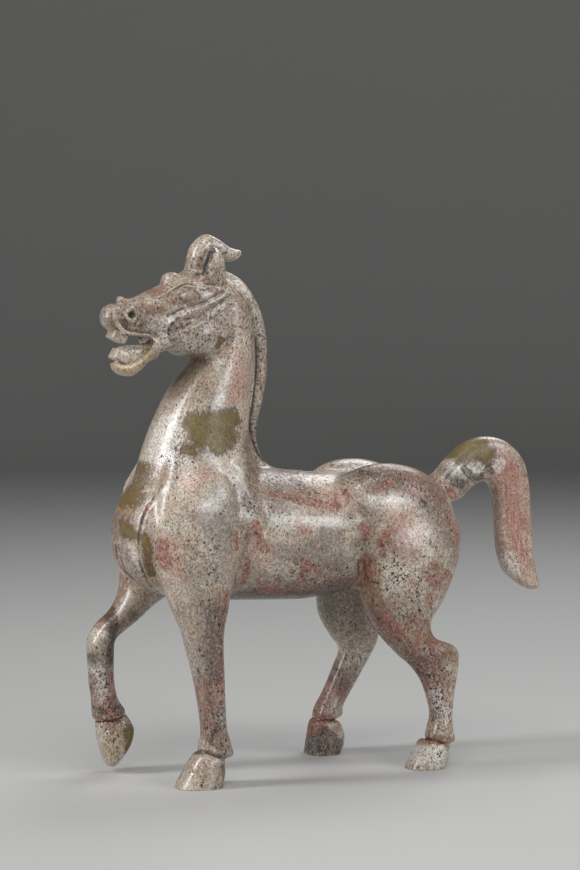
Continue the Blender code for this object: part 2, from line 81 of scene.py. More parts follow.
trunk = {
    "torso": [
        (-103, 143, -103.5, 125, 0, 9), (-98.5, 155, -100, 116, 0, 21), (-89, 169, -91, 108, 0, 30),
        (-76, 178, -77, 101.5, 0, 35), (-57, 180, -57, 98, 0, 37), (-36, 174, -36, 97, 0, 36),
        (-12, 170, -12, 96, 0, 35.5), (10, 168, 10, 95.5, 0, 35.5), (32, 167.3, 32, 97.5, 0, 36),
        (52, 167, 54, 101.5, 0, 37), (68, 164, 72, 103, 0, 35), (81, 159, 85, 107, 0, 30),
        (91, 154, 93, 117, 0, 21), (95, 148, 95, 127, 0, 10),
    ],
    "neck": [
        (-94, 158, -4, 152, 0, 33), (-89.5, 175, -17, 164, 0, 30.5), (-84, 191, -26, 182, 0, 27),
        (-76.5, 207, -26.5, 202, 0, 24), (-68.5, 220, -24.5, 220, 0, 21.5), (-59.5, 230, -23, 238, 0, 20),
        (-54, 243, -24.5, 256, 0, 19), (-52, 256, -32, 270, 0, 18), (-53, 263, -41, 274, 0, 14),
    ],
    "mane": [
        (-42, 281, -46, 272, 0, 4.2), (-31, 275.5, -37, 266, 0, 4.2), (-23, 266, -31, 259, 0, 4.2),
        (-17.5, 254, -27, 250, 0, 4.2), (-15, 240, -25, 240, 0, 4.2), (-15, 225, -25, 225, 0, 4.2),
        (-17, 211, -27, 211, 0, 4.2), (-20.5, 197, -30, 196, 0, 4.2), (-21.5, 187, -31, 181, 0, 4.2),
        (-18.5, 177.5, -26, 169, 0, 4.2), (-11, 171, -16, 162, 0, 4.2), (2, 167.5, 0, 158, 0, 4),
    ],
    "tail": [
        (82, 160, 92, 140, 0, 11), (91, 163, 100, 146, 0, 9.5), (100, 172, 108.5, 149, 0, 8.5),
        (111, 180.5, 114, 154, 0, 8), (124, 184, 122, 158, 0, 8), (138, 181, 127.5, 156.5, 0, 7.5),
        (149.5, 170, 130.5, 150, 0, 7.5), (153.7, 155, 131.5, 142, 0, 7.5),
        (155.2, 138, 132.5, 132, 0, 7.5), (156.5, 120, 133.5, 118, 0, 7), (158.2, 106, 138, 105, 0, 6.5),
        (161, 97, 149, 96, 0, 5), (161.3, 94, 156, 93, 0, 2.5),
    ],
    "buttock": [
        (17, 160, 17, 134, 19, 9), (27, 167.5, 26, 120, 20, 14), (40, 171.8, 38, 108, 21, 17.5),
        (55, 172, 54, 104, 21.5, 18.5), (69, 168.5, 71, 104, 21, 17.5), (82, 161, 85, 107, 19.5, 14.5),
        (92, 152, 93, 118, 17, 8),
    ],
}

head = {
    "skull": [
        (-38, 276, -38, 250, 0, 15), (-48, 280.5, -46, 242, 0, 17), (-60, 281, -57, 239, 0, 17.5),
        (-69, 277.5, -68, 240, 0, 16), (-78, 272.5, -77, 241, 0, 13.5), (-86, 269, -86, 243.5, 0, 11.5),
        (-93, 265.8, -94, 245.5, 0, 10.2), (-100, 263.3, -101, 247.3, 0, 10),
        (-104.5, 260, -105, 249, 0, 8.5), (-107, 257, -107, 251, 0, 5),
    ],
    "jaw": [
        (-66, 250, -64, 236, 0, 13.4), (-77, 246, -74, 236.6, 0, 13), (-84, 241, -81, 235.4, 0, 11.6),
        (-88, 237, -86, 231.5, 0, 9.5), (-93, 233, -90, 226.8, 0, 9), (-99, 229.5, -96, 222.8, 0, 8.8),
        (-104, 230, -102, 223.4, 0, 7.6), (-106.4, 230.2, -105.4, 226, 0, 4.5),
    ],
    "tongue": [
        (-80, 242, -80, 232, 0, 4.5), (-88, 240.5, -88, 230, 0, 4.5), (-96, 240.2, -96, 228, 0, 4.5),
        (-102, 239, -102, 228, 0, 4), (-104.5, 237, -104.5, 229, 0, 2.5),
    ],
    "ear": [
        (-58.5, 274, -44.5, 272, 13, 4.5), (-59, 280, -45, 279, 13.2, 4.8),
        (-57.5, 286, -45.8, 286, 13, 4.5), (-55, 290.5, -48, 290.5, 12, 3.6),
        (-52, 293, -50.5, 293, 11, 1.8),
    ],
    "forelock": [
        (-64, 275, -46, 274, 0, 8), (-62, 285, -48, 284, 0, 7.5), (-59.3, 293.5, -49, 288, 0, 7),
        (-52, 300, -47.5, 289, 0, 6.5), (-44.5, 297.6, -44, 286.5, 0, 6), (-38, 293.4, -38.5, 285, 0, 5.2),
        (-33, 291.8, -34, 285.8, 0, 4.2), (-30, 291.4, -30.5, 288, 0, 2),
    ],
}

legs = {
    "shoulder": [
        (-78, 190, -52, 190, 14, 4), (-83, 175, -47, 175, 20, 9.5), (-90.6, 157, -42, 154, 24.3, 15.2),
        (-92, 132, -43, 128, 25.5, 17),
    ],
    "haunch": [
        (34, 158, 86, 152, 20, 13), (29, 143, 93, 140, 23, 16), (27, 127, 94, 124, 25, 17.5),
        (28.5, 110, 89.5, 110, 27, 17),
    ],
    "nearForeleg": [
        (-88, 112, -48, 108, 28, 15.5), (-84, 98, -52, 95, 29.5, 13.5), (-79, 86, -55, 84, 31, 12),
        (-75.8, 74, -55.5, 73, 31.5, 11), (-72, 59, -55, 58, 32, 9.5), (-69, 43, -54.5, 43, 32, 8.8),
        (-67.5, 31, -53.5, 31, 32, 8.5), (-68.5, 24, -51, 22, 32, 9.5), (-69, 20, -49.8, 16.8, 32, 9.8),
        (-68, 18.5, -54, 14.5, 32, 7.5),
    ],
    "nearForeHoof": [
        (-67, 19.6, -57, 16.5, 32, 7), (-72, 17.5, -55, 13.5, 32, 9.6), (-77, 10, -55, 8, 32, 11),
        (-81.5, 2.5, -56, 1.5, 32, 12.2), (-83, -3, -56, -3, 32, 12.4),
    ],
    "offForeleg": [
        (-91, 112, -52, 106, 28, 15), (-91.5, 101, -71, 94, 28, 13), (-97, 91, -82.5, 84.5, 28, 10.5),
        (-105, 84, -91, 78.5, 28, 9.5), (-110.5, 75, -95.5, 74, 28, 9), (-110.5, 64, -96, 65, 28, 8.5),
        (-109.8, 52, -96, 53, 28, 8.2), (-108.5, 43, -94, 42, 28, 8.5), (-108, 35, -90, 36, 28, 9.2),
        (-107, 30.5, -89.5, 33, 28, 9.4), (-104.5, 29, -91, 32, 28, 7.5),
    ],
    "offForeHoof": [
        (-104.5, 30, -89, 32.5, 28, 7.5), (-106, 27.5, -87.5, 30.5, 28, 9.5),
        (-105, 20, -84.5, 24.5, 28, 11), (-103, 12, -86, 17.5, 28, 11.2), (-100.5, 5, -89.5, 12.5, 28, 9.5),
        (-97.5, 3, -92, 9, 28, 6),
    ],
    "nearHindLeg": [
        (33, 94, 82, 95, 28.5, 15), (41, 78, 72.5, 83, 30, 13), (52.5, 65, 75, 73.5, 31, 11),
        (60.5, 58, 88, 67.5, 31.5, 10), (67, 49, 89.5, 58, 32.5, 9), (71, 38, 86.5, 42, 33, 8),
        (73, 29, 85, 29, 33, 7.8), (71.5, 22, 85.5, 21, 33, 9), (70.4, 17, 86.5, 14.8, 33, 9.2),
        (71.5, 15.6, 80.5, 12.6, 33, 7.5),
    ],
    "nearHindHoof": [
        (70, 16, 79, 13.6, 33, 7.5), (66, 14.6, 83, 12.4, 33, 9.5), (61.5, 8, 83.5, 8, 33, 10.8),
        (58.5, 2, 81, 2, 33, 11.4), (56, -3, 78, -3, 33, 10.5),
    ],
    "offHindLeg": [
        (31, 96, 82, 97, 28.5, 15), (33, 82, 72, 86, 30, 13), (40, 70, 69, 78, 31, 11),
        (47, 60, 71, 66, 32, 9.5), (43.5, 50, 61, 48, 32, 8.5), (37, 36, 51.5, 33, 32, 8),
        (32, 27, 48, 27.5, 32, 9), (30.5, 21.5, 47.5, 22.5, 32, 9.2), (32, 19.5, 42, 20, 32, 7.5),
    ],
    "offHindHoof": [
        (31.5, 21, 41, 20, 32, 7.5), (28.5, 18, 46, 17.5, 32, 9.5), (26.8, 9, 49, 9, 32, 10.8),
        (25.8, 2, 46.5, 2, 32, 11.4), (25.5, -3, 42, -3, 32, 10.5),
    ],
}

face = {
    "muzzle": ((-105.9, 0, 254.8), (7, 9.2, 7.4)),
    "jowl": ((-60.5, 9.8, 245), (14.6, 10.7, 12.6)),
    "cheek": ((-77.6, 5.5, 243), (7.6, 8, 6.8)),
    "eye": ((-67.2, 14, 265.8), (4.7, 4.2, 4.1)),
    "browKnob": ((-71.6, 1, 274.4), (5.6, 6.4, 4.9)),
    "noseKnobs": [((-101.7, 0.8, 263.7), (2.1, 2.8, 2.6)), ((-96.2, 2.6, 263.2), (5, 3.4, 1.9))],
    "nostril": {
        "centre": (-99.4, 10.4, 256.2), "radius": 2.9, "tall": 1.1, "rim": 1.25, "turn": 32, "beads": 26,
    },
    "lip": [
        (-108.4, 8, 259.6), (-108.3, 8.6, 254.7), (-106.4, 9.2, 250.2), (-102.2, 9.8, 246.9),
        (-96, 10.4, 245.6), (-90, 10.8, 245), (-86.2, 10.8, 243.4), (-84.9, 10.6, 240.6),
        (-86.9, 10, 236.9), (-89.9, 9.4, 233.6), (-93, 9, 230.6), (-96.5, 8.6, 228),
        (-100.5, 7.6, 227.2), (-103.6, 5.4, 227.8), (-105.2, 2.6, 228.4), (-105.6, 0, 228.8),
    ],
    "lipRadius": 1.15,
    "lowerLip": [
        (-86.2, 10.4, 242.4), (-85.4, 10.4, 239.8), (-87.6, 9.8, 236), (-90.4, 9.2, 232.8),
        (-93.6, 8.8, 230), (-97.2, 8.2, 227.6), (-101.2, 6.8, 227), (-104, 3.8, 227.8), (-105, 0, 228.6),
    ],
    "lowerLipRadius": 1.4,
    "brow": [
        (-79, 10.4, 267.6), (-75, 11.4, 270.4), (-69, 12.4, 273.2), (-62.8, 13, 273.2),
        (-58.6, 13.8, 270.6), (-57, 14.6, 267.6),
    ],
    "browRadius": 0.8,
    "upperLid": [
        (-75, 13.4, 268), (-71.4, 15.6, 270), (-67.4, 16.6, 270.6), (-63.6, 16.8, 269.2),
        (-61.6, 16.6, 266), (-61.4, 16.2, 263.4),
    ],
    "lidRadius": 0.6,
    "teeth": [((-103.6, 0, 244.3), (8.4, 12, 5)), ((-101.9, 0, 233.7), (8.4, 11.5, 6.4))],
    "teethTip": 28,
    "toothBevel": 0.9,
}


def alongCurve(rows):
    # the rows and those between them, on a smooth curve through every value
    rows = np.array(rows, float)
    padded = np.vstack([2 * rows[0] - rows[1], rows, 2 * rows[-1] - rows[-2]])
    result = []
    for a, b, c, d in zip(padded, padded[1:], padded[2:], padded[3:]):
        for step in range(drawing["rowsPerSection"]):
            t = step / drawing["rowsPerSection"]
            bend, twist = 2 * a - 5 * b + 4 * c - d, 3 * b - a - 3 * c + d
            result.append(b + (c - a) * t / 2 + bend * t**2 / 2 + twist * t**3 / 2)
    return result + [rows[-1]]


def outlinePoint(row, angle, square=2.2, lean=0.0):
    # a point on a row's outline; square 2 is an ellipse, and lean widens the upper half
    along = math.copysign(abs(math.cos(angle)) ** (2 / square), math.cos(angle))
    across = math.copysign(abs(math.sin(angle)) ** (2 / square), math.sin(angle))
    upperX, upperZ, lowerX, lowerZ, y, halfWidth = row
    return Vector((
        (upperX + lowerX) / 2 + along * (upperX - lowerX) / 2,
        y + across * halfWidth * (1 + lean * along),
        (upperZ + lowerZ) / 2 + along * (upperZ - lowerZ) / 2,
    ))


def joinShape(figure, shape):
    # each shape is made by itself, where operators are quick, then moves into the figure
    mesh = bpy.data.meshes.new("shape")
    shape.to_mesh(mesh)
    shape.free()
    figure.from_mesh(mesh)
    bpy.data.meshes.remove(mesh)


def addLoft(figure, sections, outline, side=off):
    # a ball whose rings are laid on the rows
    rows = alongCurve(sections)
    rings = len(rows) + 1
    shape = bmesh.new()
    bmesh.ops.create_uvsphere(shape, u_segments=drawing["sides"], v_segments=rings, radius=1)
    for vert in shape.verts:
        ring = round(math.acos(max(-1, min(1, vert.co.z))) / math.pi * rings)
        if 0 < ring < rings:
            vert.co = outlinePoint(rows[ring - 1], math.atan2(vert.co.y, vert.co.x), *outline)
        else:
            row = rows[0 if ring == 0 else -1]
            vert.co = (outlinePoint(row, 0) + outlinePoint(row, math.pi)) / 2
        vert.co.y *= side
    joinShape(figure, shape)


def addBall(figure, centre, radii, side=off, sides=24):
    shape = bmesh.new()
    bmesh.ops.create_uvsphere(shape, u_segments=sides, v_segments=sides // 2, radius=1)
    bmesh.ops.scale(shape, vec=radii, verts=shape.verts)
    bmesh.ops.translate(shape, vec=(centre[0], side * centre[1], centre[2]), verts=shape.verts)
    joinShape(figure, shape)


def addRoll(figure, route, radius, side, taper=0.6):
    # balls set closely along the route, smaller at its ends
    points = alongCurve(route)
    for i, (x, y, z) in enumerate(points):
        fromEnd = min(i, len(points) - 1 - i) / drawing["rowsPerSection"]
        size = radius * min(1, taper + (1 - taper) * fromEnd)
        addBall(figure, (x, y, z), (size, size, size), side, sides=12)


def roundNostril(radius, angles, proud=0):
    # places on a ring facing out of the nostril, which turns forwards; angle 0 is its back
    nostril = face["nostril"]
    x, y, z = nostril["centre"]
    places = []
    for angle in angles:
        spoke = Vector((radius * math.cos(angle), 0, radius * nostril["tall"] * math.sin(angle)))
        spoke.rotate(Euler((0, 0, math.radians(-nostril["turn"]))))
        places.append((x + spoke.x, y + proud + spoke.y, z + spoke.z))
    return places


def addNostril(figure, side):
    nostril = face["nostril"]
    angles = [2 * math.pi * bead / nostril["beads"] for bead in range(nostril["beads"])]
    for place in roundNostril(nostril["radius"], angles):
        addBall(figure, place, (nostril["rim"],) * 3, side, sides=12)


# Each form's outline: how square it is, where 2 is an ellipse, and how much wider its upper half is.
outlines = {
    "torso": (2.1, 0), "neck": (2.0, 0.12), "mane": (3.5, 0), "tail": (2.6, 0), "buttock": (2.0, 0),
    "skull": (2.2, 0.05), "jaw": (2.4, 0), "tongue": (2.6, 0), "forelock": (2.6, 0), "ear": (2.0, 0),
    "leg": (2.2, 0), "hoof": (2.3, 0),
}


def massesOfTheFigure():
    figure = bmesh.new()
    for name in ("torso", "neck", "mane", "tail"):
        addLoft(figure, trunk[name], outlines[name])
    for name in ("skull", "jaw", "tongue", "forelock"):
        addLoft(figure, head[name], outlines[name])
    addBall(figure, *face["muzzle"], sides=drawing["sides"])
    for side in (near, off):
        addLoft(figure, trunk["buttock"], outlines["buttock"], side)
        addLoft(figure, head["ear"], outlines["ear"], side)
        for name in ("jowl", "cheek", "eye", "browKnob"):
            addBall(figure, *face[name], side, sides=drawing["sides"])
        for knob in face["noseKnobs"]:
            addBall(figure, *knob, side)
        addRoll(figure, face["lip"], face["lipRadius"], side)
        addRoll(figure, face["lowerLip"], face["lowerLipRadius"], side)
        addRoll(figure, face["brow"], face["browRadius"], side)
        addRoll(figure, face["upperLid"], face["lidRadius"], side)
        addNostril(figure, side)
    for name, hoof, upper, side in (
        ("nearForeleg", "nearForeHoof", "shoulder", near),
        ("offForeleg", "offForeHoof", "shoulder", off),
        ("nearHindLeg", "nearHindHoof", "haunch", near),
        ("offHindLeg", "offHindHoof", "haunch", off),
    ):
        addLoft(figure, legs[upper] + legs[name], outlines["leg"], side)
        addLoft(figure, legs[hoof], outlines["hoof"], side)
    bmesh.ops.recalc_face_normals(figure, faces=figure.faces)
    mesh = bpy.data.meshes.new("masses")
    figure.to_mesh(mesh)
    figure.free()
    return mesh


def baked(mesh, modifiers, weights=None):
    # the mesh with modifiers applied; weights go in as a vertex group, in a few dozen levels
    holder = bpy.data.objects.new("holder", mesh)
    bpy.context.scene.collection.objects.link(holder)
    if weights is not None:
        holder.vertex_groups.clear()
        group = holder.vertex_groups.new(name="weights")
        finest = skinSettings["weightLevels"]
        levels = np.round(weights * finest).astype(int)
        for level in np.unique(levels[levels > 0]):
            group.add(np.flatnonzero(levels == level).tolist(), level / finest, "REPLACE")
    for kind, settings in modifiers:
        modifier = holder.modifiers.new(kind, kind)
        for key, value in settings.items():
            setattr(modifier, key, value)
    graph = bpy.context.evaluated_depsgraph_get()
    result = bpy.data.meshes.new_from_object(holder.evaluated_get(graph))
    bpy.data.objects.remove(holder)
    return result


def readVectors(mesh, attribute, key):
    values = np.empty(len(mesh.vertices) * 3, np.float32)
    getattr(mesh, attribute).foreach_get(key, values)
    return values.reshape(-1, 3).astype(float)


def ramp(values, start, end):
    return np.clip((values - start) / (end - start), 0, 1)


skinSettings = {
    "voxel": 0.5,
    "trunkSmoothing": 230,  # passes, more for smaller voxels
    "skinSmoothing": 5,
    "meltSmoothing": 90,
    "triangles": 188000,
    "evenness": 0.004,
    "headKept": 0.35,  # lower keeps more triangles there
    "bodyKept": 0.75,
    "headStarts": (215, 235),
    "weightLevels": 40,
}


# Where the smooth trunk fades in, from none of it to all of it.
trunkFades = {
    "behindFace": (-50, -40), "underFace": (236, 228), "underPoll": (276, 266),
    "besideMane": (4, 8), "underMane": (180, 165),
    "leg": (74, 108), "leastOnLeg": 0.08,
    "beforeTail": (112, 92), "overHoof": (24, 36),
}


def trunkShare(points):
    # how fully a point belongs to the smooth trunk: 0 on face, mane and hooves, 1 on the barrel
    x, y, z = points.T
    fades, least = trunkFades, trunkFades["leastOnLeg"]
    share = np.maximum(ramp(x, *fades["behindFace"]), ramp(z, *fades["underFace"]))
    share *= ramp(z, *fades["underPoll"])
    share *= np.maximum(ramp(np.abs(y), *fades["besideMane"]), ramp(z, *fades["underMane"]))
    share *= least + (1 - least) * ramp(z, *fades["leg"])
    return share * ramp(x, *fades["beforeTail"]) * ramp(z, *fades["overHoof"])


def distanceTo(points, route, reach):
    # distance to a route, worked out only near it
    route = np.array(route, float)
    nearest = np.full(len(points), np.inf)
    close = np.all((points > route.min(0) - reach) & (points < route.max(0) + reach), axis=1)
    local = points[close]
    best = np.full(len(local), np.inf)
    for a, b in zip(route[:-1], route[1:]):
        way = np.clip((local - a) @ (b - a) / ((b - a) @ (b - a)), 0, 1)
        best = np.minimum(best, np.linalg.norm(local - a - way[:, None] * (b - a), axis=1))
    nearest[close] = best
    return nearest


def swell(points, route, reach):
    return np.clip(1 - (distanceTo(points, route, reach) / reach) ** 2, 0, 1) ** 2


def oval(centre, radii, start, end, count=13):
    angles = np.radians(np.linspace(start, end, count))
    return [(centre[0] + radii[0] * math.cos(a), centre[1] + radii[1] * math.sin(a)) for a in angles]


# Strokes seen from the side, cut alike on both: route as (x, z), reach, depth, and how much dirt and
# painted shade it holds.
sideStrokes = {
    "grooveOverJowl": (
        [(-78, 246.8), (-68, 251), (-60.6, 255.4), (-51.8, 261.2), (-43, 266.6)], 2, 1.6, 0.65),
    "grooveUnderEye": (
        [(-79, 255.6), (-73, 258.4), (-66, 260.6), (-60.2, 262.8), (-48, 268.4)], 1.8, 1.2, 0.65),
    "upperCheekBand": (
        [(-79.2, 251.4), (-71.8, 254.8), (-64.3, 258.2), (-56.8, 262), (-48, 266)], 2.0, -1.0, 0),
    "lowerCheekBand": ([(-70, 247.4), (-59.8, 252.2), (-47.9, 259.6), (-43, 262.6)], 1.7, -1.0, 0),
    "jowlOutline": (oval((-60.8, 246), (16.4, 13.6), 160, 350), 2.4, 1.6, 0.6),
    "jowlFront": ([(-74, 254), (-77.4, 249), (-77.8, 243.6), (-75.6, 238.8)], 1.5, 0.8, 0.6),
    "lowerLid": (oval((-66.8, 265.6), (4.9, 4.5), 190, 350), 1.0, 0.7, 0.4),
    "browLine": ([(-79, 266), (-75, 269.4), (-70, 272), (-64.6, 272.6), (-60, 270.8)], 0.9, 0.3, 0.1),
    "eyeball": ([(-67.6, 265.8), (-66.8, 265.8)], 4.2, -0.7, 0),
    "roundEye": (oval((-67.2, 265.9), (5.3, 4.8), -20, 200, 21), 0.8, 0.8, 0.35),
    "foldOverEye": (oval((-67.4, 266.2), (7.2, 6.5), 20, 160, 17), 0.8, 0.5, 0.35),
    "creaseBehindNostril": ([(-95.6, 261), (-94.1, 257.5), (-94.6, 254), (-97, 251.2)], 1.6, 1.2, 0.45),
    "swirlA": ([(-92.4, 261.6), (-90.6, 257.4), (-91.6, 253.2), (-95, 249.8)], 1.1, 0.5, 0.4),
    "swirlB": ([(-104, 252.4), (-99, 250.2), (-93, 249.2), (-88.6, 248.4)], 0.9, 0.5, 0.4),
    "flank": ([(27, 128), (26.6, 118), (26.4, 108), (27, 99)], 6, 1.6, 0),
    "flankTuck": ([(25.4, 124), (23, 114), (21, 105), (19, 97)], 17, 2, 0),
    "flankCrease": ([(28.8, 126), (28.6, 118), (29.3, 110), (30.4, 101)], 2.2, 0.7, 0.3),
    "flankCreaseLow": ([(28.7, 117), (29.3, 111), (30.4, 101)], 2, 1.3, 0.8),
    "backOfShoulder": ([(-42.4, 130), (-44.6, 119), (-48, 104)], 9, 1.4, 0),
    "behindShoulder": ([(-40.4, 170), (-39.4, 158), (-39.4, 145)], 11, -1.8, 0),
    "beforeThigh": ([(27, 157), (25.4, 145), (25.4, 135)], 11, -1.5, 0),
    "shoulderCrease": ([(-42.5, 138), (-42.8, 128), (-44.5, 118), (-47.5, 107)], 2.0, 0.7, 0.5),
    "footOfMane": (
        [(-38, 271), (-31.6, 263.4), (-26.4, 252.8), (-22.4, 238), (-22.4, 222), (-24.4, 206), (-26.2, 194),
         (-24.6, 186), (-19, 176), (-9, 169.5)], 1.5, 1.2, 0.9),
    "tailVeinA": (
        [(131, 176), (138, 166), (139.6, 150), (140, 132), (141.5, 116), (147, 102)], 1.1, 0.35, 0.2),
    "tailVeinB": (
        [(136, 178), (143.6, 167), (144.8, 150), (145.2, 132), (147, 114), (152, 101)], 1.1, 0.35, 0.2),
    "tailVeinC": (
        [(141, 179), (148.6, 166), (149.8, 150), (150.4, 132), (152.3, 112), (157, 100)], 1.1, 0.35, 0.2),
    "tailVeinD": (
        [(127, 172), (133.4, 163), (135, 150), (136, 132), (137.5, 117), (143, 103)], 1.1, 0.3, 0.2),
}


def nostrilRing(radius, start=0, end=360, count=19):
    return roundNostril(radius, np.radians(np.linspace(start, end, count)), proud=1)


# Strokes in the round: route as (x, y, z), reach, depth, dirt and painted shade. Where y isn't 0, both
# sides have one.
roundStrokes = {
    "chestLine": (
        [(-105.6, 0, 151), (-103.4, 4.4, 141), (-103, 5.4, 134), (-102.4, 4.4, 126), (-98.8, 3.6, 117),
         (-91.6, 2.4, 108.6), (-80, 0, 101)], 1.1, 0.9, 0.8),
    "chestFold": (
        [(-105, 0, 140), (-103.6, 0.6, 133), (-102.8, 0.4, 125), (-99, 0.8, 117), (-91.6, 1.4, 108.6)],
        1.1, 0.9, 0.7),
    "chestValley": ([(-104.6, 1.6, 138), (-103.4, 1.6, 128), (-99.4, 1.6, 117), (-90, 1, 107)], 5, 0.8, 0),
    "rumpFurrow": ([(14, 0, 167), (32, 0, 167), (52, 0, 167), (70, 0, 163), (82, 0, 159)], 9, 2.2, 0),
    "rumpCleft": (
        [(26, 0, 167.5), (40, 0, 166.5), (56, 0, 165), (70, 0, 161.5), (82, 0, 157)], 2.2, 0.7, 0.5),
    "cleftUnderTail": ([(95, 0, 140), (96, 0, 130), (93, 0, 118), (86, 0, 108)], 9, 3.5, 0.5),
    "shoulderFront": (
        [(-80, 35, 172), (-86.8, 28.8, 166.8), (-90, 23.8, 161.8), (-93.8, 21.4, 155), (-97.2, 20.5, 146.3),
         (-98.8, 20, 136), (-98.4, 19, 129), (-97.6, 18.2, 123.4), (-95.6, 16.8, 118), (-92.8, 14.6, 113.2),
         (-88, 10, 108), (-80, 5, 102)], 1.3, 1.2, 0.7),
    "shoulderEdge": (
        [(-88, 25.2, 162), (-92, 23.4, 155), (-95.2, 22.8, 146.3), (-96.8, 22.2, 136), (-96.4, 21.2, 129),
         (-95.7, 20.4, 123.4), (-93.8, 18.8, 118), (-91, 16.6, 113.2), (-86.4, 12, 108)], 4, -0.5, 0),
    # the ear's hollow and the gap beside it hold dirt that also paints the shade in them
    "hollowOfEar": (
        [(-58.6, 13.4, 280.4), (-57.8, 13.8, 283), (-56.2, 14, 286.4), (-54, 13.4, 290)], 2.4, 3.3, 1.8),
    "gapByEar": ([(-60, 9.4, 277), (-57.6, 9, 284), (-54.4, 9, 291)], 3, 0.6, 0.8),
    "cheekBulge": ([(-88.5, 11, 250.4), (-83.5, 11.5, 251.6), (-80, 12.5, 250.6)], 6, -1.3, 0),
    "nostrilHole": ([(-101.6, 14, 256.2), (-98.6, 9, 256.2)], 2.1, 3.2, 0.45),
    "nostrilRing": (nostrilRing(3.2), 1.5, -1.2, 0),
    "aroundNostril": (nostrilRing(5.1), 1.1, 0.9, 0.5),
    "secondRing": (nostrilRing(6.7, -70, 95), 1.3, -0.9, 0),
    "aroundSecondRing": (nostrilRing(8.2, -50, 80), 1.0, 0.5, 0.4),
    "lipFold": (
        [(-104.4, 6.6, 262.4), (-107, 7.8, 259), (-107.4, 9.2, 254.5), (-105.9, 10.1, 250.2),
         (-103.2, 10.3, 246.6)], 1.5, -0.9, 0),
    "lipFoldLine": (
        [(-106.8, 5, 262), (-109.2, 6.4, 258.6), (-109.6, 7.6, 254.4), (-108, 8.6, 250)], 1.2, 0.6, 0.4),
    "ridgeOfEar": ([(-51.4, 18, 277), (-51.4, 17.8, 283), (-51, 16.4, 289.6)], 1.8, -0.8, 0),
    "forelockLine": (
        [(-63.5, 4.5, 276), (-61, 4.5, 284), (-57.6, 4.2, 291.5), (-52.4, 3.8, 297.6)], 1.2, 0.7, 0.7),
    "underBelly": ([(31.4, 20, 98.6), (32.4, 12, 97)], 3.2, 1.2, 0.6),
}

# The groove between each pastern and its hoof runs round this row.
coronets = {
    "reach": 1.5,
    "depth": 1,
    "dirtAndShade": 0.7,
    "steps": 40,
    "rows": [
        (near, (-68, 19, -55.5, 15.5, 32, 7.6)),
        (off, (-105, 29.5, -90, 32.2, 28, 7.8)),
        (near, (70.4, 15.8, 80.4, 13.2, 33, 7.8)),
        (off, (31.5, 20.2, 42, 20, 32, 7.6)),
    ],
}


def strokesOn(points, normals, walls=0.0):
    # every stroke's share at the points, with its depth and its dirt and painted shade; walls widens it by
    # that much of its depth, for points that are cut already
    aside = np.sqrt(np.abs(normals[:, 1]))
    for route, reach, depth, dirtAndShade in sideStrokes.values():
        yield swell(points[:, (0, 2)], alongCurve(route), reach) * aside, depth, dirtAndShade
    for route, reach, depth, dirtAndShade in roundStrokes.values():
        curve = np.array(alongCurve(route))
        for side in (near, off) if curve[0][1] else (off,):
            yield swell(points, curve * (1, side, 1), reach + walls * abs(depth)), depth, dirtAndShade
    for side, row in coronets["rows"]:
        angles = [2 * math.pi * step / coronets["steps"] for step in range(coronets["steps"] + 1)]
        ring = [outlinePoint(row, angle) for angle in angles]
        reach = coronets["reach"] + walls * coronets["depth"]
        yield swell(points, np.array(ring) * (1, side, 1), reach), coronets["depth"], coronets["dirtAndShade"]


def carve(skin):
    points = readVectors(skin, "vertices", "co")
    normals = readVectors(skin, "vertex_normals", "vector")
    for share, depth, dirtAndShade in strokesOn(points.copy(), normals):
        points -= normals * (depth * share)[:, None]
    skin.vertices.foreach_set("co", points.astype(np.float32).ravel())
    skin.update()


def withTeeth(figure, centre, size):
    block = bmesh.new()
    bmesh.ops.create_cube(block, size=1)
    bmesh.ops.scale(block, vec=size, verts=block.verts)
    rounding = {"offset": face["toothBevel"], "segments": 2, "profile": 0.5, "material": -1}
    bmesh.ops.bevel(block, geom=block.edges, affect="EDGES", **rounding)
    tip = Euler((0, math.radians(face["teethTip"]), 0))
    bmesh.ops.rotate(block, verts=block.verts, matrix=tip.to_matrix())
    bmesh.ops.translate(block, verts=block.verts, vec=centre)
    mesh = bpy.data.meshes.new("teeth")
    block.to_mesh(mesh)
    block.free()
    teeth = bpy.data.objects.new("teeth", mesh)
    bpy.context.scene.collection.objects.link(teeth)
    joined = baked(figure, [("BOOLEAN", {"operation": "UNION", "object": teeth})])
    bpy.data.objects.remove(teeth)
    return joined


def dropCrumbs(figure, fewest=200):
    # takes away loose bits, which thin ends of rolls leave behind in the remesh
    unseen, crumbs = set(figure.verts), []
    while unseen:
        island = [unseen.pop()]
        for vert in island:
            found = {edge.other_vert(vert) for edge in vert.link_edges} & unseen
            unseen -= found
            island += found
        if len(island) < fewest:
            crumbs += island
    bmesh.ops.delete(figure, geom=crumbs, context="VERTS")


def setOnSoles(mesh):
    # flat soles at the ground, then real size and place, pressed inside the solid's own box
    figure = bmesh.new()
    figure.from_mesh(mesh)
    dropCrumbs(figure)
    everything = figure.verts[:] + figure.edges[:] + figure.faces[:]
    ground = {"plane_co": (0, 0, 0), "plane_no": (0, 0, 1)}
    bmesh.ops.bisect_plane(figure, geom=everything, clear_inner=True, **ground)
    bmesh.ops.holes_fill(figure, edges=[edge for edge in figure.edges if edge.is_boundary], sides=0)
    bmesh.ops.triangulate(figure, faces=figure.faces)
    bmesh.ops.translate(figure, vec=drawing["shift"], verts=figure.verts)
    bmesh.ops.scale(figure, vec=(drawing["step"],) * 3, verts=figure.verts)
    low, high = cadBox
    for vert in figure.verts:
        vert.co = [min(max(value, a), b) for value, a, b in zip(vert.co, low, high)]
    figure.to_mesh(mesh)
    figure.free()


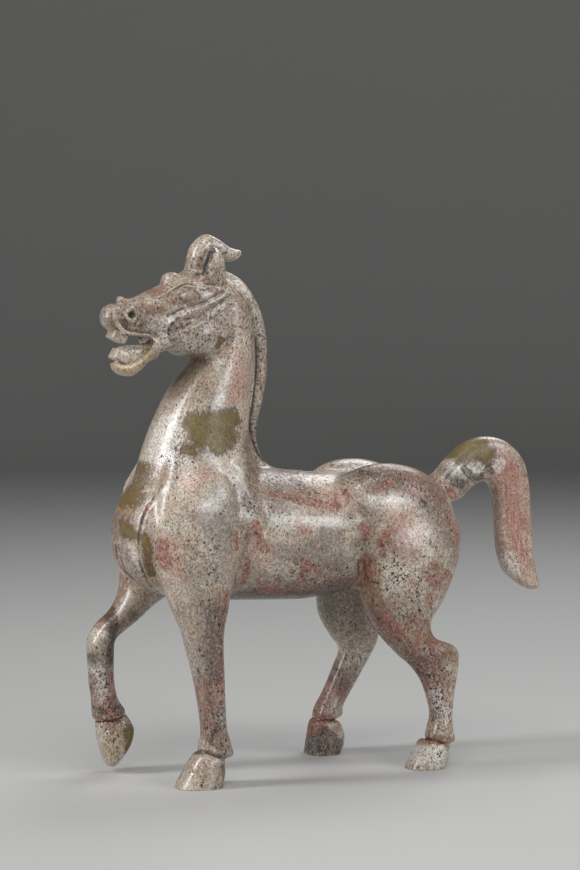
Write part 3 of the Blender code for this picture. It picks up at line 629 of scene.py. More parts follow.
# Places where one form runs into the next without an edge: centre and radius.
melted = [
    ((-52, 17, 275), 9), ((-66, 7, 272), 5), ((-60, 3, 277), 6), ((-99, 6, 262), 5),
    ((-84, 12, 262), 6), ((-82, 11, 240), 8), ((-88, 8, 228), 7), ((-74, 3, 272), 4),
    ((-101, 7, 252), 3), ((-79, 10, 235), 7), ((-84, 7, 233), 6),
]


def meltShare(points):
    share = np.zeros(len(points))
    for centre, radius in melted:
        away = np.linalg.norm(points * (1, 0, 1) + (0, 1, 0) * np.abs(points) - centre, axis=1)
        share = np.maximum(share, np.clip(1.5 - away / radius, 0, 1))
    return share


def makeHorse():
    skin = baked(massesOfTheFigure(), [("REMESH", {"mode": "VOXEL", "voxel_size": skinSettings["voxel"]})])
    print("horse: fused,", len(skin.polygons), "faces")
    trunkPasses = {"factor": 0.5, "iterations": skinSettings["trunkSmoothing"], "vertex_group": "weights"}
    evenPasses = {"factor": 0.5, "iterations": skinSettings["skinSmoothing"]}
    share = trunkShare(readVectors(skin, "vertices", "co"))
    skin = baked(skin, [("SMOOTH", trunkPasses), ("SMOOTH", evenPasses)], share)
    meltPasses = {"factor": 0.5, "iterations": skinSettings["meltSmoothing"], "vertex_group": "weights"}
    share = meltShare(readVectors(skin, "vertices", "co"))
    skin = baked(skin, [("SMOOTH", meltPasses)], share)
    carve(skin)
    print("horse: carved")
    heights = readVectors(skin, "vertices", "co")[:, 2]
    levels = (skinSettings["bodyKept"], skinSettings["headKept"])
    kept = np.interp(heights, skinSettings["headStarts"], levels)
    thinning = {
        "ratio": skinSettings["triangles"] / (2 * len(skin.polygons)),
        "vertex_group": "weights",
        "vertex_group_factor": skinSettings["evenness"],
    }
    mesh = baked(skin, [("TRIANGULATE", {}), ("DECIMATE", thinning)], kept)
    for centre, size in face["teeth"]:
        mesh = withTeeth(mesh, centre, size)
    setOnSoles(mesh)
    mesh.shade_smooth()
    horse = bpy.data.objects.new("jadeHorse", mesh)
    bpy.context.scene.collection.objects.link(horse)
    print("horse: finished,", len(mesh.polygons), "triangles")
    return horse


# Stains, and the painted shade in wash, smoke and shade, by name and side. Each is how far it reaches, then
# its route of (x, z) on the figure seen from the side.
stainsAndShade = {
    # a brown wash on legs and body, which also paints shade along the bottom of the barrel, under the jaw,
    # in the creases behind the shoulder and before the thigh, and over the off hind leg
    "washAndShade": {
        both: [
            (12, (-40, 101), (-10, 96), (24, 98)), (9, (-62, 100), (-60, 40)),
            (7, (-88, 92), (-100, 66), (-95, 38)), (9, (44, 92), (60, 74), (74, 64)),
            (7, (-62, 226), (-66, 214)), (9, (-30, 180), (-22, 168), (-27, 150)),
            (4, (-26, 262), (-19, 240), (-19, 215), (-24, 192)), (9, (76, 144), (88, 136), (90, 120)),
        ],
        near: [
            (5, (-36, 104), (-4, 100), (22, 103)), (5, (-42, 160), (-40, 130), (-44, 108)),
            (5, (30, 146), (29, 124), (31, 102)),
        ],
        off: [
            (16, (22, 80), (14, 44), (14, 20)),
        ],
    },
    "olive": {
        both: [
            (4.6, (-93, 173), (-97.6, 164), (-100.6, 156)), (7, (108, 175), (115, 178), (121, 174)),
        ],
        near: [
            (6, (-67, 197), (-58, 198), (-47, 199)), (7, (-64, 190), (-50, 190)),
            (4, (-58, 184), (-54, 184)), (2.2, (-73, 183), (-70, 182)), (2.6, (-104, 143), (-102, 138)),
            (1.9, (-97.4, 137), (-96, 130), (-94.6, 122), (-92, 116)),
            (1.9, (-49.5, 242.5), (-50.8, 239.5)),
        ],
        off: [
            (3.5, (-90, 24), (-89, 14)),
        ],
    },
    "brown": {
        both: [
            (3.4, (-101, 151), (-102.6, 144), (-103, 138)), (1.6, (-105, 136), (-102, 122), (-94, 110)),
            (5, (88, 158), (97, 154)), (9, (-64, 279), (-84, 272), (-101, 263)),
            (7, (-58, 276), (-46, 276)), (5, (-98, 261), (-84, 262), (-72, 267), (-60, 271)),
            (4, (-94, 253), (-86, 256)), (5, (-110, 258), (-106, 252)),
            (2, (-106, 249), (-98, 246), (-88, 245)),
        ],
        near: [
            (3.2, (-38, 265), (-33, 257), (-29.5, 250), (-28, 244)), (1.3, (-95.6, 151), (-97, 144)),
            (7.5, (34, 166), (50, 165), (66, 160)), (4.5, (56, 158), (66, 150)),
            (4.5, (76, 150), (78, 142), (74, 140)), (6, (56, 170), (68, 163), (80, 156)),
            (4.5, (74, 158), (80, 148), (80, 140)), (4, (-33, 184), (-35, 168), (-38, 152)),
            (4, (-8, 162), (2, 158)), (3.6, (12, 107), (26, 105)), (5, (-64, 98), (-62, 62)),
            (4.6, (-28, 168), (-18, 165), (-4, 165)), (3, (-63, 233), (-57, 231)),
            (3.5, (81, 69), (83, 62)),
        ],
        off: [
            (8, (18, 62), (14, 34)), (3.4, (-111, 54), (-108, 34)), (3.6, (-98, 42), (-93, 38)),
            (4, (24, 6), (30, 14)),
        ],
    },
    "ochre": {
        both: [
            (2.6, (-96, 166), (-98.6, 155), (-100.4, 150)),
        ],
        near: [
            (2.6, (-98, 140), (-95.8, 130), (-92.8, 117)), (2.4, (-92, 116), (-89, 110)),
            (2.6, (31.5, 106), (33, 96)), (2.4, (84, 62), (84, 50)), (4, (8, 163), (16, 165)),
        ],
        off: [
            (4.5, (-97, 22), (-101, 14)),
        ],
    },
    "honey": {
        both: [
            (2, (-108, 249), (-105, 247), (-99, 246)), (2, (-88, 236), (-92, 231), (-96, 228)),
            (5, (-105, 225), (-97, 223)),
        ],
        off: [
            (3, (-93, 25), (-92, 16)),
        ],
    },
    "tooth": {
        both: [
            (4.6, (-107, 245), (-101, 242)), (5, (-105.6, 236), (-98, 232)),
        ],
    },
    "rust": {
        both: [
            (6, (-28, 104), (0, 100), (24, 102)), (2.6, (-84, 268), (-74, 264)),
            (2, (-92, 260), (-82, 258)), (2.6, (-60, 274), (-54, 270)),
        ],
        near: [
            (4.2, (32, 118), (34, 100), (38, 88), (46, 78)), (5, (46, 78), (54, 72), (61, 60), (66, 44)),
            (6, (56, 84), (64, 77), (76, 68)), (4, (70, 70), (72, 52)), (4, (70, 56), (78, 50)),
            (3.4, (68, 40), (72, 30)), (3, (66, 17), (80, 15)), (3, (-56, 104), (-58, 84)),
            (3.4, (-69, 56), (-68, 44)), (4, (-66, 34), (-60, 24)), (6, (34, 163), (56, 164), (80, 156)),
            (6, (44, 130), (54, 122)), (5, (68, 112), (82, 104)),
        ],
        off: [
            (3, (-90, 108), (-104, 84)), (6, (24, 16), (32, 34)), (4, (-106, 34), (-96, 32)),
        ],
    },
    "red": {
        both: [
            (2, (94, 158), (98, 153), (102, 148.6)),
        ],
        near: [
            (2.2, (-90.4, 134), (-90, 128), (-88.4, 122)), (1.2, (-93.6, 154), (-94, 150.6)),
            (2.6, (-37.4, 142), (-35.3, 137.4)), (2.4, (-33.5, 133.5), (-31, 128)),
            (1.7, (-49.8, 138), (-48.7, 129.9)), (1.7, (-41, 122), (-40.4, 110)),
            (1.9, (-12, 141.6), (-8.4, 139), (-4.4, 137)), (1.6, (-9, 141), (-8, 136.6)),
            (2.6, (-6.7, 121.1), (-4.8, 114.1), (-6.6, 108.3)), (1.8, (-2, 117), (3, 114)),
            (2.3, (-15, 156), (-8.6, 154), (-0.2, 152.8), (7, 150.4), (12.5, 148.5)),
            (3, (12, 150), (17, 152), (19.6, 156)), (1.4, (-24, 158), (-18, 157)),
            (1.8, (-31, 112), (-28, 108)), (1.5, (-22.4, 113), (-20, 110)), (2, (-24, 104), (-14, 102)),
            (2.8, (28, 138), (32, 133.6)), (1.7, (41, 134.5), (38, 128), (38.6, 121.8)),
            (1.3, (32, 120), (32.6, 108)), (2, (38, 87), (42, 84)), (2, (45, 80.6), (48, 77)),
            (2, (65.4, 97.8), (68, 95)), (2, (79, 111), (81.6, 107)), (1.6, (67, 106.6), (70, 103.6)),
            (2.6, (57, 159), (62, 155)), (1.8, (46, 162), (42, 160)), (1.5, (-57.6, 106), (-57, 96)),
            (1.5, (68, 16.4), (74, 14.6)),
        ],
        off: [
            (2.6, (27, 14), (30, 22), (36, 21)), (2.2, (-104, 30), (-98, 28)),
        ],
    },
    "rose": {
        both: [
            (12, (132, 168), (140, 156), (142, 138), (144, 122), (150, 104)),
        ],
        near: [
            (5, (-76, 166), (-66, 171)), (4.5, (-88, 134), (-84, 116)),
            (6, (-44, 237), (-38, 225), (-41, 212)), (5, (-37, 132), (-31, 122)),
            (8, (46, 142), (58, 136)), (6, (6, 154), (20, 156)), (5, (-60, 72), (-60, 56)),
            (5, (84, 140), (90, 128)), (6, (72, 40), (80, 34)),
        ],
        off: [
            (6, (-98, 38), (-104, 56)), (7, (24, 30), (34, 46)),
        ],
    },
    "flush": {
        both: [
            (5.5, (136, 166), (140, 152), (142, 134), (146, 116)),
        ],
        near: [
            (4, (-60, 74), (-60, 50)), (3, (42, 86), (50, 78)),
        ],
        off: [
            (3.4, (-104, 42), (-100, 35)), (4, (40, 42), (44, 34)), (4, (28, 20), (38, 17)),
        ],
    },
    "pale": {
        both: [
            (3.6, (101, 168), (108, 166)), (2.6, (112, 163), (119, 166)), (4.5, (124, 172), (130, 168)),
            (4, (138, 113), (142, 104)), (5, (-86, 250), (-78, 250)),
        ],
        near: [
            (3.4, (73, 42), (78, 28)), (2.6, (-62, 272), (-56, 266)), (6, (-84, 180), (-76, 196)),
            (2.6, (-103, 130), (-100, 118), (-96, 111)), (5, (62, 8), (72, 8)),
        ],
        off: [
            (3.4, (-107, 60), (-105, 44)),
        ],
    },
    "pitted": {
        both: [
            (15, (44, 118), (58, 100), (50, 88)), (9, (-24, 172), (-16, 160), (-28, 146)),
            (7, (-22, 255), (-19, 230), (-22, 205), (-26, 185)),
            (9, (-10, 164), (30, 164), (62, 160), (80, 150)), (9, (-66, 244), (-56, 250)),
        ],
        near: [
            (8, (-32, 184), (-36, 160), (-38, 140)), (10, (-60, 100), (-58, 30)),
            (9, (60, 64), (76, 50), (80, 30)), (9, (-6, 112), (20, 112)), (5, (-76, 186), (-74, 176)),
            (9, (-78, 134), (-66, 120)), (9, (80, 146), (86, 132)), (8, (-10, 114), (20, 110)),
        ],
        off: [
            (12, (14, 60), (14, 16)), (9, (-104, 60), (-100, 30)),
        ],
    },
    # near-black: painted shade under the belly and over the off hind leg and its hoof, and black patches at
    # the tail root, on the raised foreleg and elsewhere
    "shade": {
        both: [
            (8, (-36, 97), (-4, 95), (23, 97)), (3.2, (97, 160), (105, 157.5)),
            (2.4, (107, 166), (113, 161), (119, 161)), (2, (121, 170), (126, 164)),
        ],
        near: [
            (1.2, (64, 151.4), (67, 149.6)), (1.4, (33, 168), (40, 166)), (1.6, (-8, 164), (-2, 161)),
            (1.7, (-59, 12), (-57.4, 5)), (1.3, (-66, 26), (-62, 33)), (1.2, (-72, 19), (-66, 20)),
        ],
        off: [
            (9, (16, 66), (14, 34)), (6, (28, 2), (31, 12), (40, 5)),
            (2.6, (-98, 92), (-99, 83), (-99.5, 75), (-100.6, 64)), (1.3, (-110, 67), (-109.4, 64)),
            (1.4, (-100, 98), (-99, 95)), (1.5, (-107, 38), (-104, 35)), (1.5, (-100, 38), (-96, 37)),
            (1.4, (-111, 52), (-110, 46)),
        ],
    },
    # grey smoke stains, which also paint shade over the off hind leg, on the raised foreleg's inner side
    # and at the top of the flank crease
    "smokeAndShade": {
        both: [
            (4, (98, 164), (104, 158), (108, 156)),
        ],
        near: [
            (5, (-67, 96), (-63, 62)), (5, (-22, 127), (2, 121)), (1.5, (28, 149), (29.4, 145)),
            (7, (6, 124), (14, 118), (8, 134)), (1.7, (42, 165), (44, 164)), (4, (-4, 127), (0, 130)),
            (8, (-66, 146), (-60, 136)), (2, (63, 152), (65, 150)), (1.4, (52, 134), (53, 133)),
        ],
        off: [
            (13, (24, 84), (22, 60)), (5, (38, 64), (44, 40)), (2.6, (-101, 85), (-98, 83)),
            (2.4, (-90, 90), (-87, 88)), (2.8, (-98, 76), (-98, 64)), (2.6, (-110, 67), (-109, 62)),
        ],
    },
}


maskSettings = {"middleFade": (-2, 3), "walls": 0.7, "bendRounds": 3, "bendStrength": 2.5}


def addMasks(mesh):
    # what the stone's shader reads: each stain and painted shade, dirt and painted shade in the strokes,
    # hollows, and worn edges with a painted highlight
    points = readVectors(mesh, "vertices", "co") / drawing["step"] - drawing["shift"]
    normals = readVectors(mesh, "vertex_normals", "vector")
    masks = {}
    for name, sides in stainsAndShade.items():
        masks[name] = np.zeros(len(points))
        for side, (reach, *route) in [(side, patch) for side in sides for patch in sides[side]]:
            closeness = np.clip(1 - distanceTo(points[:, (0, 2)], route, 2 * reach) / (2 * reach), 0, 1)
            if side != both:
                closeness *= ramp(side * points[:, 1], *maskSettings["middleFade"])
            masks[name] = np.maximum(masks[name], closeness)
    masks["dirtAndShade"] = np.zeros(len(points))
    for share, depth, dirtAndShade in strokesOn(points, normals, maskSettings["walls"]):
        masks["dirtAndShade"] = np.maximum(masks["dirtAndShade"], share * dirtAndShade)
    bend = bending(mesh, points, normals)
    # hollows later darken as dirt and painted shade, and edges lighten as wear and as a painted highlight
    masks["hollow"], masks["edge"] = np.clip(bend, 0, 1), np.clip(-bend, 0, 1)
    for name, values in masks.items():
        attribute = mesh.attributes.new(name, "FLOAT", "POINT")
        attribute.data.foreach_set("value", values.astype(np.float32))
    print("horse: masks,", ", ".join(masks))


def bending(mesh, points, normals):
    # how hollow the surface is at each point, per millimetre, evened out over its neighbours
    ends = np.empty(len(mesh.edges) * 2, np.int32)
    mesh.edges.foreach_get("vertices", ends)
    first, second = ends.reshape(-1, 2).T
    count = np.bincount(first, minlength=len(points)) + np.bincount(second, minlength=len(points))
    along = points[second] - points[first]
    length = (along**2).sum(1)
    bend = np.bincount(first, (along * normals[first]).sum(1) / length, len(points))
    bend -= np.bincount(second, (along * normals[second]).sum(1) / length, len(points))
    bend /= count
    for evening in range(maskSettings["bendRounds"]):
        around = np.bincount(first, bend[second], len(points))
        around += np.bincount(second, bend[first], len(points))
        bend = (bend + around / count) / 2
    return bend * maskSettings["bendStrength"]


class Wire:
    # a socket of the shader; sums on it add their own Math nodes
    def __init__(self, tree, socket=None):
        self.tree, self.socket = tree, socket

    def node(self, kind, settings=None, inputs=None, output=0):
        # any node: its settings first, then a value or link for each socket
        made = self.tree.nodes.new("ShaderNode" + kind)
        for key, value in (settings or {}).items():
            setattr(made, key, value)
        for key, value in (inputs or {}).items():
            if isinstance(value, Wire):
                self.tree.links.new(value.socket, made.inputs[key])
            else:
                made.inputs[key].default_value = value
        return Wire(self.tree, made.outputs[output])

    def maths(self, operation, first, second):
        return self.node("Math", {"operation": operation}, {0: first, 1: second})

    def __add__(self, other):
        return self.maths("ADD", self, other)

    def __radd__(self, other):
        return self.maths("ADD", other, self)

    def __sub__(self, other):
        return self.maths("SUBTRACT", self, other)

    def __rsub__(self, other):
        return self.maths("SUBTRACT", other, self)

    def __mul__(self, other):
        return self.maths("MULTIPLY", self, other)

    def __truediv__(self, other):
        return self.maths("DIVIDE", self, other)


def hue(red, green, blue):
    # a colour given as screen values, 0 to 255, for a shader's socket
    parts = [value / 255 for value in (red, green, blue)]
    return tuple(p / 12.92 if p <= 0.04045 else ((p + 0.055) / 1.055) ** 2.4 for p in parts) + (1,)


def clamped(value):
    return value.node("Clamp", {}, {"Value": value})


def rise(value, start, end):
    # 0 below start, 1 above end, smooth between; the other way round where end is lower
    inputs = {"Value": value, "From Min": start, "From Max": end}
    return value.node("MapRange", {"interpolation_type": "SMOOTHSTEP"}, inputs)


def larger(first, second):
    return first.maths("MAXIMUM", first, second)


def mixed(share, below, above):
    return share.node("Mix", {"data_type": "RGBA"}, {0: share, 6: below, 7: above}, output=2)


def stretched(place, upright, shift=(0, 0, 0)):
    # a place for a pattern: drawn out upwards where upright is under 1, and moved by shift
    return place.node("Mapping", {}, {"Vector": place, "Scale": (1, 1, upright), "Location": shift})


def cloud(place, size, detail, roughness, upright, shift):
    # noise whose lumps are about this size in metres
    inputs = {"Vector": stretched(place, upright, shift), "Scale": 1 / size, "Detail": detail}
    return place.node("TexNoise", {}, {**inputs, "Roughness": roughness})


def pitted(place, presence, cell, radius, soft):
    # round specks in cells of a size; presence, 0 to 1, is how many of the cells have one
    cells = {"Vector": place, "Scale": 1 / cell, "Randomness": 1}
    fromMiddle = place.node("TexVoronoi", {}, cells, "Distance")
    chance = place.node("SeparateColor", {}, {"Color": place.node("TexVoronoi", {}, cells, "Color")})
    size = clamped((chance - 1 + presence) / presence) * radius
    return clamped((size - fromMiddle) / soft)


# wash, dirt, smoke and shade also stand for painted shade
stoneHues = {
    "cream": hue(200, 190, 173),
    "grey": hue(157, 147, 132),
    "sand": hue(186, 162, 138),
    "blush": hue(176, 142, 126),
    "rust": hue(128, 70, 42),
    "umber": hue(112, 84, 63),
    "washAndShade": hue(100, 71, 50),
    "speck": hue(62, 47, 36),
    "pit": hue(26, 20, 17),
    "dirtAndShade": hue(38, 28, 21),
    "olive": hue(92, 68, 0),
    "moss": hue(104, 88, 8),
    "oliveRim": hue(62, 46, 26),
    "honey": hue(178, 152, 96),
    "tooth": hue(200, 184, 164),
    "salmon": hue(192, 138, 114),
    "brown": hue(108, 79, 60),
    "ochre": hue(160, 122, 66),
    "brick": hue(142, 62, 44),
    "crimson": hue(108, 38, 36),
    "rose": hue(196, 134, 120),
    "flush": hue(174, 96, 82),
    "chalk": hue(222, 216, 210),
    "smokeAndShade": hue(76, 70, 62),
    "shade": hue(30, 24, 18),
}


# Clouds of noise in the stone: the size of a lump in metres, detail, roughness, how upright they are drawn
# and their shift.
stoneClouds = {
    "broad": (0.034, 2, 0.55, 1, (0, 0, 0)),
    "middle": (0.012, 4, 0.6, 0.8, (0.3, 0, 0)),
    "small": (0.0042, 4, 0.65, 1, (0, 0, 0)),
    "grain": (0.0011, 3, 0.7, 0.6, (0, 0, 0)),
    "ragged": (0.0032, 5, 0.72, 0.85, (0, 0, 0)),
    "crumbs": (0.0016, 3, 0.7, 0.8, (0.1, 0, 0.2)),
    "warmth": (0.018, 3, 0.55, 1, (0, 0.2, 0)),
    "ridges": (0.006, 4, 0.7, 0.8, (0.6, 0.1, 0)),
    "streaks": (0.0022, 3, 0.6, 0.22, (0, 0, 0)),
    "drift": (0.021, 3, 0.55, 1, (0, 0, 0.4)),
    "scatter": (0.0012, 3, 0.7, 0.85, (0, 0, 0)),
    "dust": (0.0011, 2, 0.6, 0.9, (0, 0.7, 0)),
    "coarse": (0.0017, 2, 0.6, 0.85, (0.5, 0, 0)),
    "sprinkle": (0.0012, 2, 0.6, 0.9, (0, 0.3, 0)),
}

stoneFinish = {
    "roughness": 0.36,
    "coat": 0.62,
    "coatRoughness": 0.24,
    "ior": 1.6,
    "bump": 0.45,
    "relief": 0.0005,
    "headStarts": (0.222, 0.24),
    "legsStart": (0.095, 0.06),
    "bigPits": {"cell": 0.0027, "radius": 0.31, "soft": 0.07},
    "push": {"scale": 700, "reach": 0.003},
}


def calcified(noise):
    # the stone's own colours
    h = stoneHues
    colour = mixed(rise(noise["broad"], 0.38, 0.62), h["grey"], h["cream"])
    colour = mixed(rise(noise["middle"], 0.46, 0.66) * 0.75, colour, h["sand"])
    colour = mixed(rise(noise["warmth"], 0.5, 0.66) * 0.42, colour, h["blush"])
    colour = mixed(rise(noise["small"], 0.5, 0.7) * 0.5, colour, h["umber"])
    return mixed(rise(noise["small"], 0.48, 0.3) * 0.5, colour, h["chalk"])


def stainedAndShaded(colour, mask, noise, onHead):
    # the stains and the painted shade of wash, smoke and shade, each over those before it, and the shares
    # of three that dull the gloss
    h = stoneHues
    torn = noise["ragged"] - 0.5
    middle, grain, crumbs = noise["middle"], noise["grain"], noise["crumbs"]

    def shareOf(name, soft, holes, edge=0.5):
        # the stain's share, ragged at its edge and let through where the noise is low
        share = rise(mask[name] + torn * 0.9, edge - soft, edge + soft)
        return share * (1 - rise(crumbs, 0.56, 0.42) * holes) if holes else share

    # the wash: partly a brown stain, partly painted shade under the belly and jaw, in creases and on the
    # off hind leg
    colour = mixed(shareOf("washAndShade", soft=0.36, holes=0.4, edge=0.42) * 0.56, colour, h["washAndShade"])
    threads = rise(noise["ridges"], 0.57, 0.5) * rise(noise["ridges"], 0.43, 0.5)
    rusty = rise(mask["rust"] + torn * 0.9, 0.26, 0.6)
    colour = mixed(rusty * (threads * 0.5 + 0.42), colour, h["rust"])
    colour = mixed(shareOf("rose", soft=0.26, holes=0.6) * 0.48, colour, h["rose"])
    flush = rise(mask["flush"] + torn * 0.9, 0.2, 0.7)
    colour = mixed(flush * (rise(noise["streaks"], 0.42, 0.58) * 0.5 + 0.22), colour, h["flush"])
    colour = mixed(shareOf("pale", soft=0.14, holes=0.3) * 0.7, colour, h["chalk"])
    brown = shareOf("brown", soft=0.2, holes=0.7)
    colour = mixed(brown * (0.86 - onHead * 0.22), colour, h["brown"])
    # smoke: grey stains, and painted shade on the off hind leg and the raised foreleg
    colour = mixed(shareOf("smokeAndShade", soft=0.2, holes=0.4) * 0.6, colour, h["smokeAndShade"])
    # shade: painted shade under the belly and on the off legs, and black patches
    shade = shareOf("shade", soft=0.14, holes=0.4)
    colour = mixed(shade * 0.95, colour, h["shade"])
    colour = mixed(shareOf("ochre", soft=0.16, holes=0.5) * 0.6, colour, h["ochre"])
    colour = mixed(shareOf("honey", soft=0.2, holes=0.2) * 0.7, colour, h["honey"])
    colour = mixed(shareOf("tooth", soft=0.1, holes=0) * 0.8, colour, h["tooth"])

    # red in a pale halo, and olive in a dark rim
    halo = rise(mask["red"] + torn * 1.2, 0.3, 0.6)
    colour = mixed(halo * 0.45, colour, h["salmon"])
    redder = mixed(rise(middle, 0.42, 0.6), h["brick"], h["crimson"])
    colour = mixed(shareOf("red", soft=0.14, holes=0.7, edge=0.46) * 0.88, colour, redder)
    spread = mask["olive"] + torn * 1.1 + (middle - 0.5) * 0.5
    rim = rise(spread + (grain - 0.5) * 0.8, 0.31, 0.46)
    colour = mixed(rim * 0.7, colour, h["oliveRim"])
    olive = rise(spread, 0.42, 0.66) * (1 - rise(crumbs, 0.5, 0.36) * 0.3)
    greener = mixed(rise(mask["olive"] + (middle - 0.5) * 1.6, 0.55, 0.95), h["olive"], h["moss"])
    return mixed(olive * 0.92, colour, greener), olive, brown, shade


def pushedAbout(place):
    # places pushed about a little, so that no pit is round
    push = stoneFinish["push"]
    ways = place.node("TexNoise", {}, {"Vector": place, "Scale": push["scale"], "Detail": 3}, "Color")
    ways = place.node("VectorMath", {"operation": "SUBTRACT"}, {0: ways, 1: (0.5, 0.5, 0.5)})
    reach = (push["reach"],) * 3
    return place.node("VectorMath", {"operation": "MULTIPLY_ADD"}, {0: ways, 1: reach, 2: place})


def speckled(colour, mask, noise, place, onHead, onLegs, olive):
    # fine dark specks everywhere, thicker in places, then pits down to black, smaller on the head
    h, grain = stoneHues, noise["grain"]
    clean = 1 - olive * 0.6
    thick = rise(noise["drift"], 0.4, 0.66) * 0.5 + mask["pitted"] * 0.8 + onLegs * 0.38
    colour = mixed(rise(noise["dust"], 0.49, 0.6) * clean * 0.64, colour, h["umber"])
    specks = rise(noise["scatter"], 0.635 - thick * 0.055, 0.665 - thick * 0.055)
    colour = mixed(specks * clean * 0.86, colour, h["speck"])
    pits = rise(noise["coarse"], 0.685 - thick * 0.07, 0.7 - thick * 0.07)
    uneven = stretched(pushedAbout(place), 0.85, (0.013, 0.02, 0))
    bigPits = pitted(uneven, 0.06 + thick * 0.42, **stoneFinish["bigPits"])
    finePits = rise(noise["sprinkle"] + thick * 0.05 + onHead * 0.045, 0.655, 0.675)
    holes = clamped((larger(pits, bigPits) * (1 - onHead) + finePits * (0.6 + onHead * 0.3)) * clean)
    colour = mixed(holes * 0.98, colour, h["pit"])
    colour = mixed(rise(grain, 0.53, 0.7) * 0.5, colour, h["speck"])
    colour = mixed(rise(grain, 0.48, 0.3) * (1 - olive * 0.8) * 0.35, colour, h["chalk"])
    return colour, specks, holes


def soiledAndShaded(colour, mask, small):
    # dirt and painted shade in the cut lines and hollows, and pale worn edges that also carry a painted
    # highlight
    hollowDirtAndShade = rise(mask["hollow"] + (small - 0.5) * 0.8, 0.3, 0.95)
    dirtAndShadeShare = clamped(rise(mask["dirtAndShade"] + (small - 0.5) * 1.1, 0.3, 0.85) + hollowDirtAndShade * 0.45)
    colour = mixed(dirtAndShadeShare * 0.92, colour, stoneHues["dirtAndShade"])
    # worn edges, lighter as wear and as a painted highlight on the ridges
    wornAndHighlit = rise(mask["edge"] + (small - 0.5) * 0.5, 0.35, 0.9)
    return mixed(wornAndHighlit * 0.35, colour, stoneHues["cream"]), dirtAndShadeShare


def makeStone():
    material = bpy.data.materials.new("jade")
    material.use_nodes = True
    tree = material.node_tree
    shader = tree.nodes["Principled BSDF"]
    wire = Wire(tree)
    place = wire.node("TexCoord", output="Object")
    names = [*stainsAndShade, "dirtAndShade", "hollow", "edge"]
    mask = {name: wire.node("Attribute", {"attribute_name": name}, output="Fac") for name in names}
    noise = {name: cloud(place, *settings) for name, settings in stoneClouds.items()}
    middle, small, grain = noise["middle"], noise["small"], noise["grain"]
    height = place.node("SeparateXYZ", {}, {"Vector": place}, "Z")
    finish = stoneFinish
    onHead, onLegs = rise(height, *finish["headStarts"]), rise(height, *finish["legsStart"])

    colour, olive, brown, shade = stainedAndShaded(calcified(noise), mask, noise, onHead)
    colour, specks, holes = speckled(colour, mask, noise, place, onHead, onLegs, olive)
    colour, dirtAndShadeShare = soiledAndShaded(colour, mask, small)
    roughness = finish["roughness"] + (small - 0.5) * 0.3 + holes * 0.35 + dirtAndShadeShare * 0.25 + specks * 0.1
    roughness = roughness + olive * 0.22 + brown * 0.12
    bump = (middle - 0.5) * 0.5 + (small - 0.5) * 0.22 + (grain - 0.5) * 0.1 - holes * 0.55 - specks * 0.1
    relief = {"Strength": finish["bump"], "Distance": finish["relief"], "Height": bump}
    polish = (1 - olive * 0.8) * (1 - brown * 0.6) * (1 - shade * 0.8) * (1 - holes) * finish["coat"]
    varied = {
        "Base Color": colour,
        "Roughness": clamped(roughness),
        "Normal": place.node("Bump", {}, relief, "Normal"),
        "Coat Weight": clamped(polish),
    }
    for socket, wired in varied.items():
        tree.links.new(wired.socket, shader.inputs[socket])
    shader.inputs["IOR"].default_value = finish["ior"]
    shader.inputs["Coat Roughness"].default_value = finish["coatRoughness"]
    print("stone: made,", len(tree.nodes), "nodes")
    return material


horse = makeHorse()
addMasks(horse.data)
horse.data.materials.clear()
horse.data.materials.append(makeStone())
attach(horse, "root")
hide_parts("horse")


studio = {
    "floorRadius": 2.3,
    "sweep": 0.9,
    "sweepSteps": 12,
    "turnSteps": 72,
    "wall": 1.6,
    "floorHue": hue(176, 175, 173),
    "floorRoughness": 0.7,
    "world": (hue(226, 230, 236), 0.06),
    # each soft light: its turn round the figure, lift and distance, width and height, power and hue
    "lights": {
        "frontBox": ((24, 18, 1.5), (0.8, 0.32), 7.6, (0.94, 0.975, 1)),
        "shoulderBox": ((52, 30, 1.45), (0.36, 0.3), 3.8, (0.94, 0.975, 1)),
        "sideStrip": ((-98, 28, 1.35), (0.3, 1.2), 15, (0.97, 0.985, 1)),
        "headBox": ((-44, 22, 1.45), (0.8, 0.8), 2.4, (1, 0.985, 0.96)),
        "backBox": ((128, 48, 1.5), (0.9, 0.6), 9, (0.96, 0.98, 1)),
        "topBox": ((-14, 60, 1.3), (0.8, 0.6), 6.8, (1, 0.985, 0.96)),
    },
    "aim": (-0.01, 0, 0.17),
}


def outward(turn, lift):
    # the way from the figure to something at this turn and height, in degrees
    turn, lift = math.radians(turn), math.radians(lift)
    return Vector((math.sin(turn) * math.cos(lift), -math.cos(turn) * math.cos(lift), math.sin(lift)))


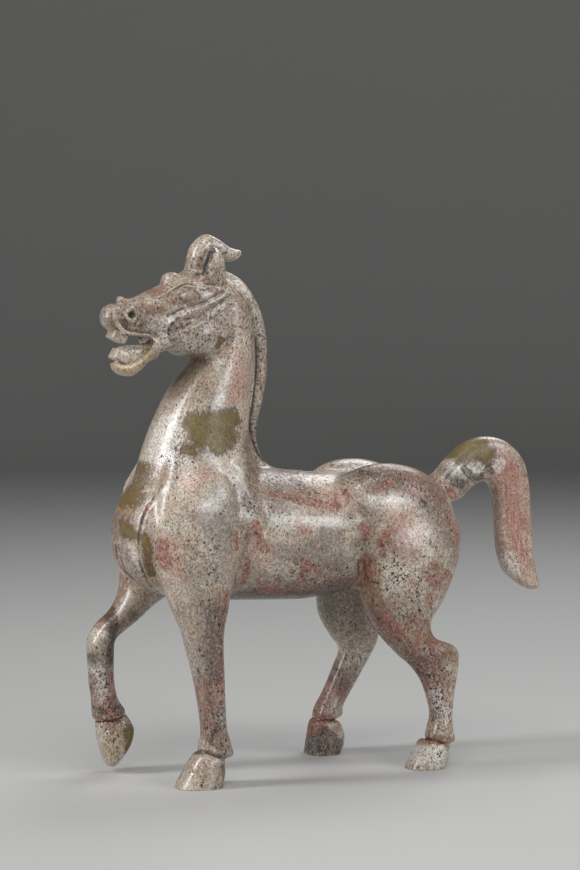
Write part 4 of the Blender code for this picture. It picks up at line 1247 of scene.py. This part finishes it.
def makeStudio():
    sweep = bmesh.new()
    corner = studio["floorRadius"]
    rim = [sweep.verts.new((0, 0, 0)), sweep.verts.new((corner, 0, 0))]
    for step in range(1, studio["sweepSteps"] + 1):
        angle = math.radians(90 * step / studio["sweepSteps"])
        across, up = studio["sweep"] * math.sin(angle), studio["sweep"] * (1 - math.cos(angle))
        rim.append(sweep.verts.new((corner + across, 0, up)))
    rim.append(sweep.verts.new((corner + studio["sweep"], 0, studio["sweep"] + studio["wall"])))
    edges = [sweep.edges.new(pair) for pair in zip(rim, rim[1:])]
    turning = {"cent": (0, 0, 0), "axis": (0, 0, 1), "angle": 2 * math.pi, "steps": studio["turnSteps"]}
    bmesh.ops.spin(sweep, geom=rim + edges, use_merge=True, **turning)
    bmesh.ops.remove_doubles(sweep, verts=sweep.verts, dist=0.0001)
    bmesh.ops.recalc_face_normals(sweep, faces=sweep.faces)
    mesh = bpy.data.meshes.new("studioFloor")
    sweep.to_mesh(mesh)
    sweep.free()
    mesh.shade_smooth()
    floor = bpy.data.objects.new("studioFloor", mesh)
    bpy.context.scene.collection.objects.link(floor)
    paper = bpy.data.materials.new("studioPaper")
    paper.use_nodes = True
    look = paper.node_tree.nodes["Principled BSDF"].inputs
    look["Base Color"].default_value = studio["floorHue"]
    look["Roughness"].default_value = studio["floorRoughness"]
    mesh.materials.append(paper)

    world = bpy.data.worlds.new("studioAir")
    world.use_nodes = True
    air = world.node_tree.nodes["Background"]
    air.inputs["Color"].default_value, air.inputs["Strength"].default_value = studio["world"]
    bpy.context.scene.world = world
    for name, ((turn, lift, distance), size, power, tint) in studio["lights"].items():
        light = bpy.data.lights.new(name, "AREA")
        light.shape, light.size, light.size_y = "RECTANGLE", *size
        light.energy, light.color = power, tint
        lamp = bpy.data.objects.new(name, light)
        lamp.location = Vector(studio["aim"]) + outward(turn, lift) * distance
        lamp.rotation_euler = (-outward(turn, lift)).to_track_quat("-Z", "Y").to_euler()
        lamp.visible_camera = False
        bpy.context.scene.collection.objects.link(lamp)
    print("studio: lit by", ", ".join(studio["lights"]))


view = {
    "azimuth": -25,
    "elevation": 3.5,
    "distance": 1.492,
    "target": (-0.024, 0, 0.188),
    "lens": 110,
    "sensor": 36,
}


def makeCamera():
    back = outward(view["azimuth"], view["elevation"])
    lens = bpy.data.cameras.new("camera")
    lens.lens = view["lens"]
    lens.sensor_width = view["sensor"]
    camera = bpy.data.objects.new("camera", lens)
    camera.location = Vector(view["target"]) + back * view["distance"]
    camera.rotation_euler = (-back).to_track_quat("-Z", "Y").to_euler()
    bpy.context.scene.collection.objects.link(camera)
    bpy.context.scene.camera = camera
    bpy.context.scene.view_settings.view_transform = "Standard"


makeStudio()
makeCamera()
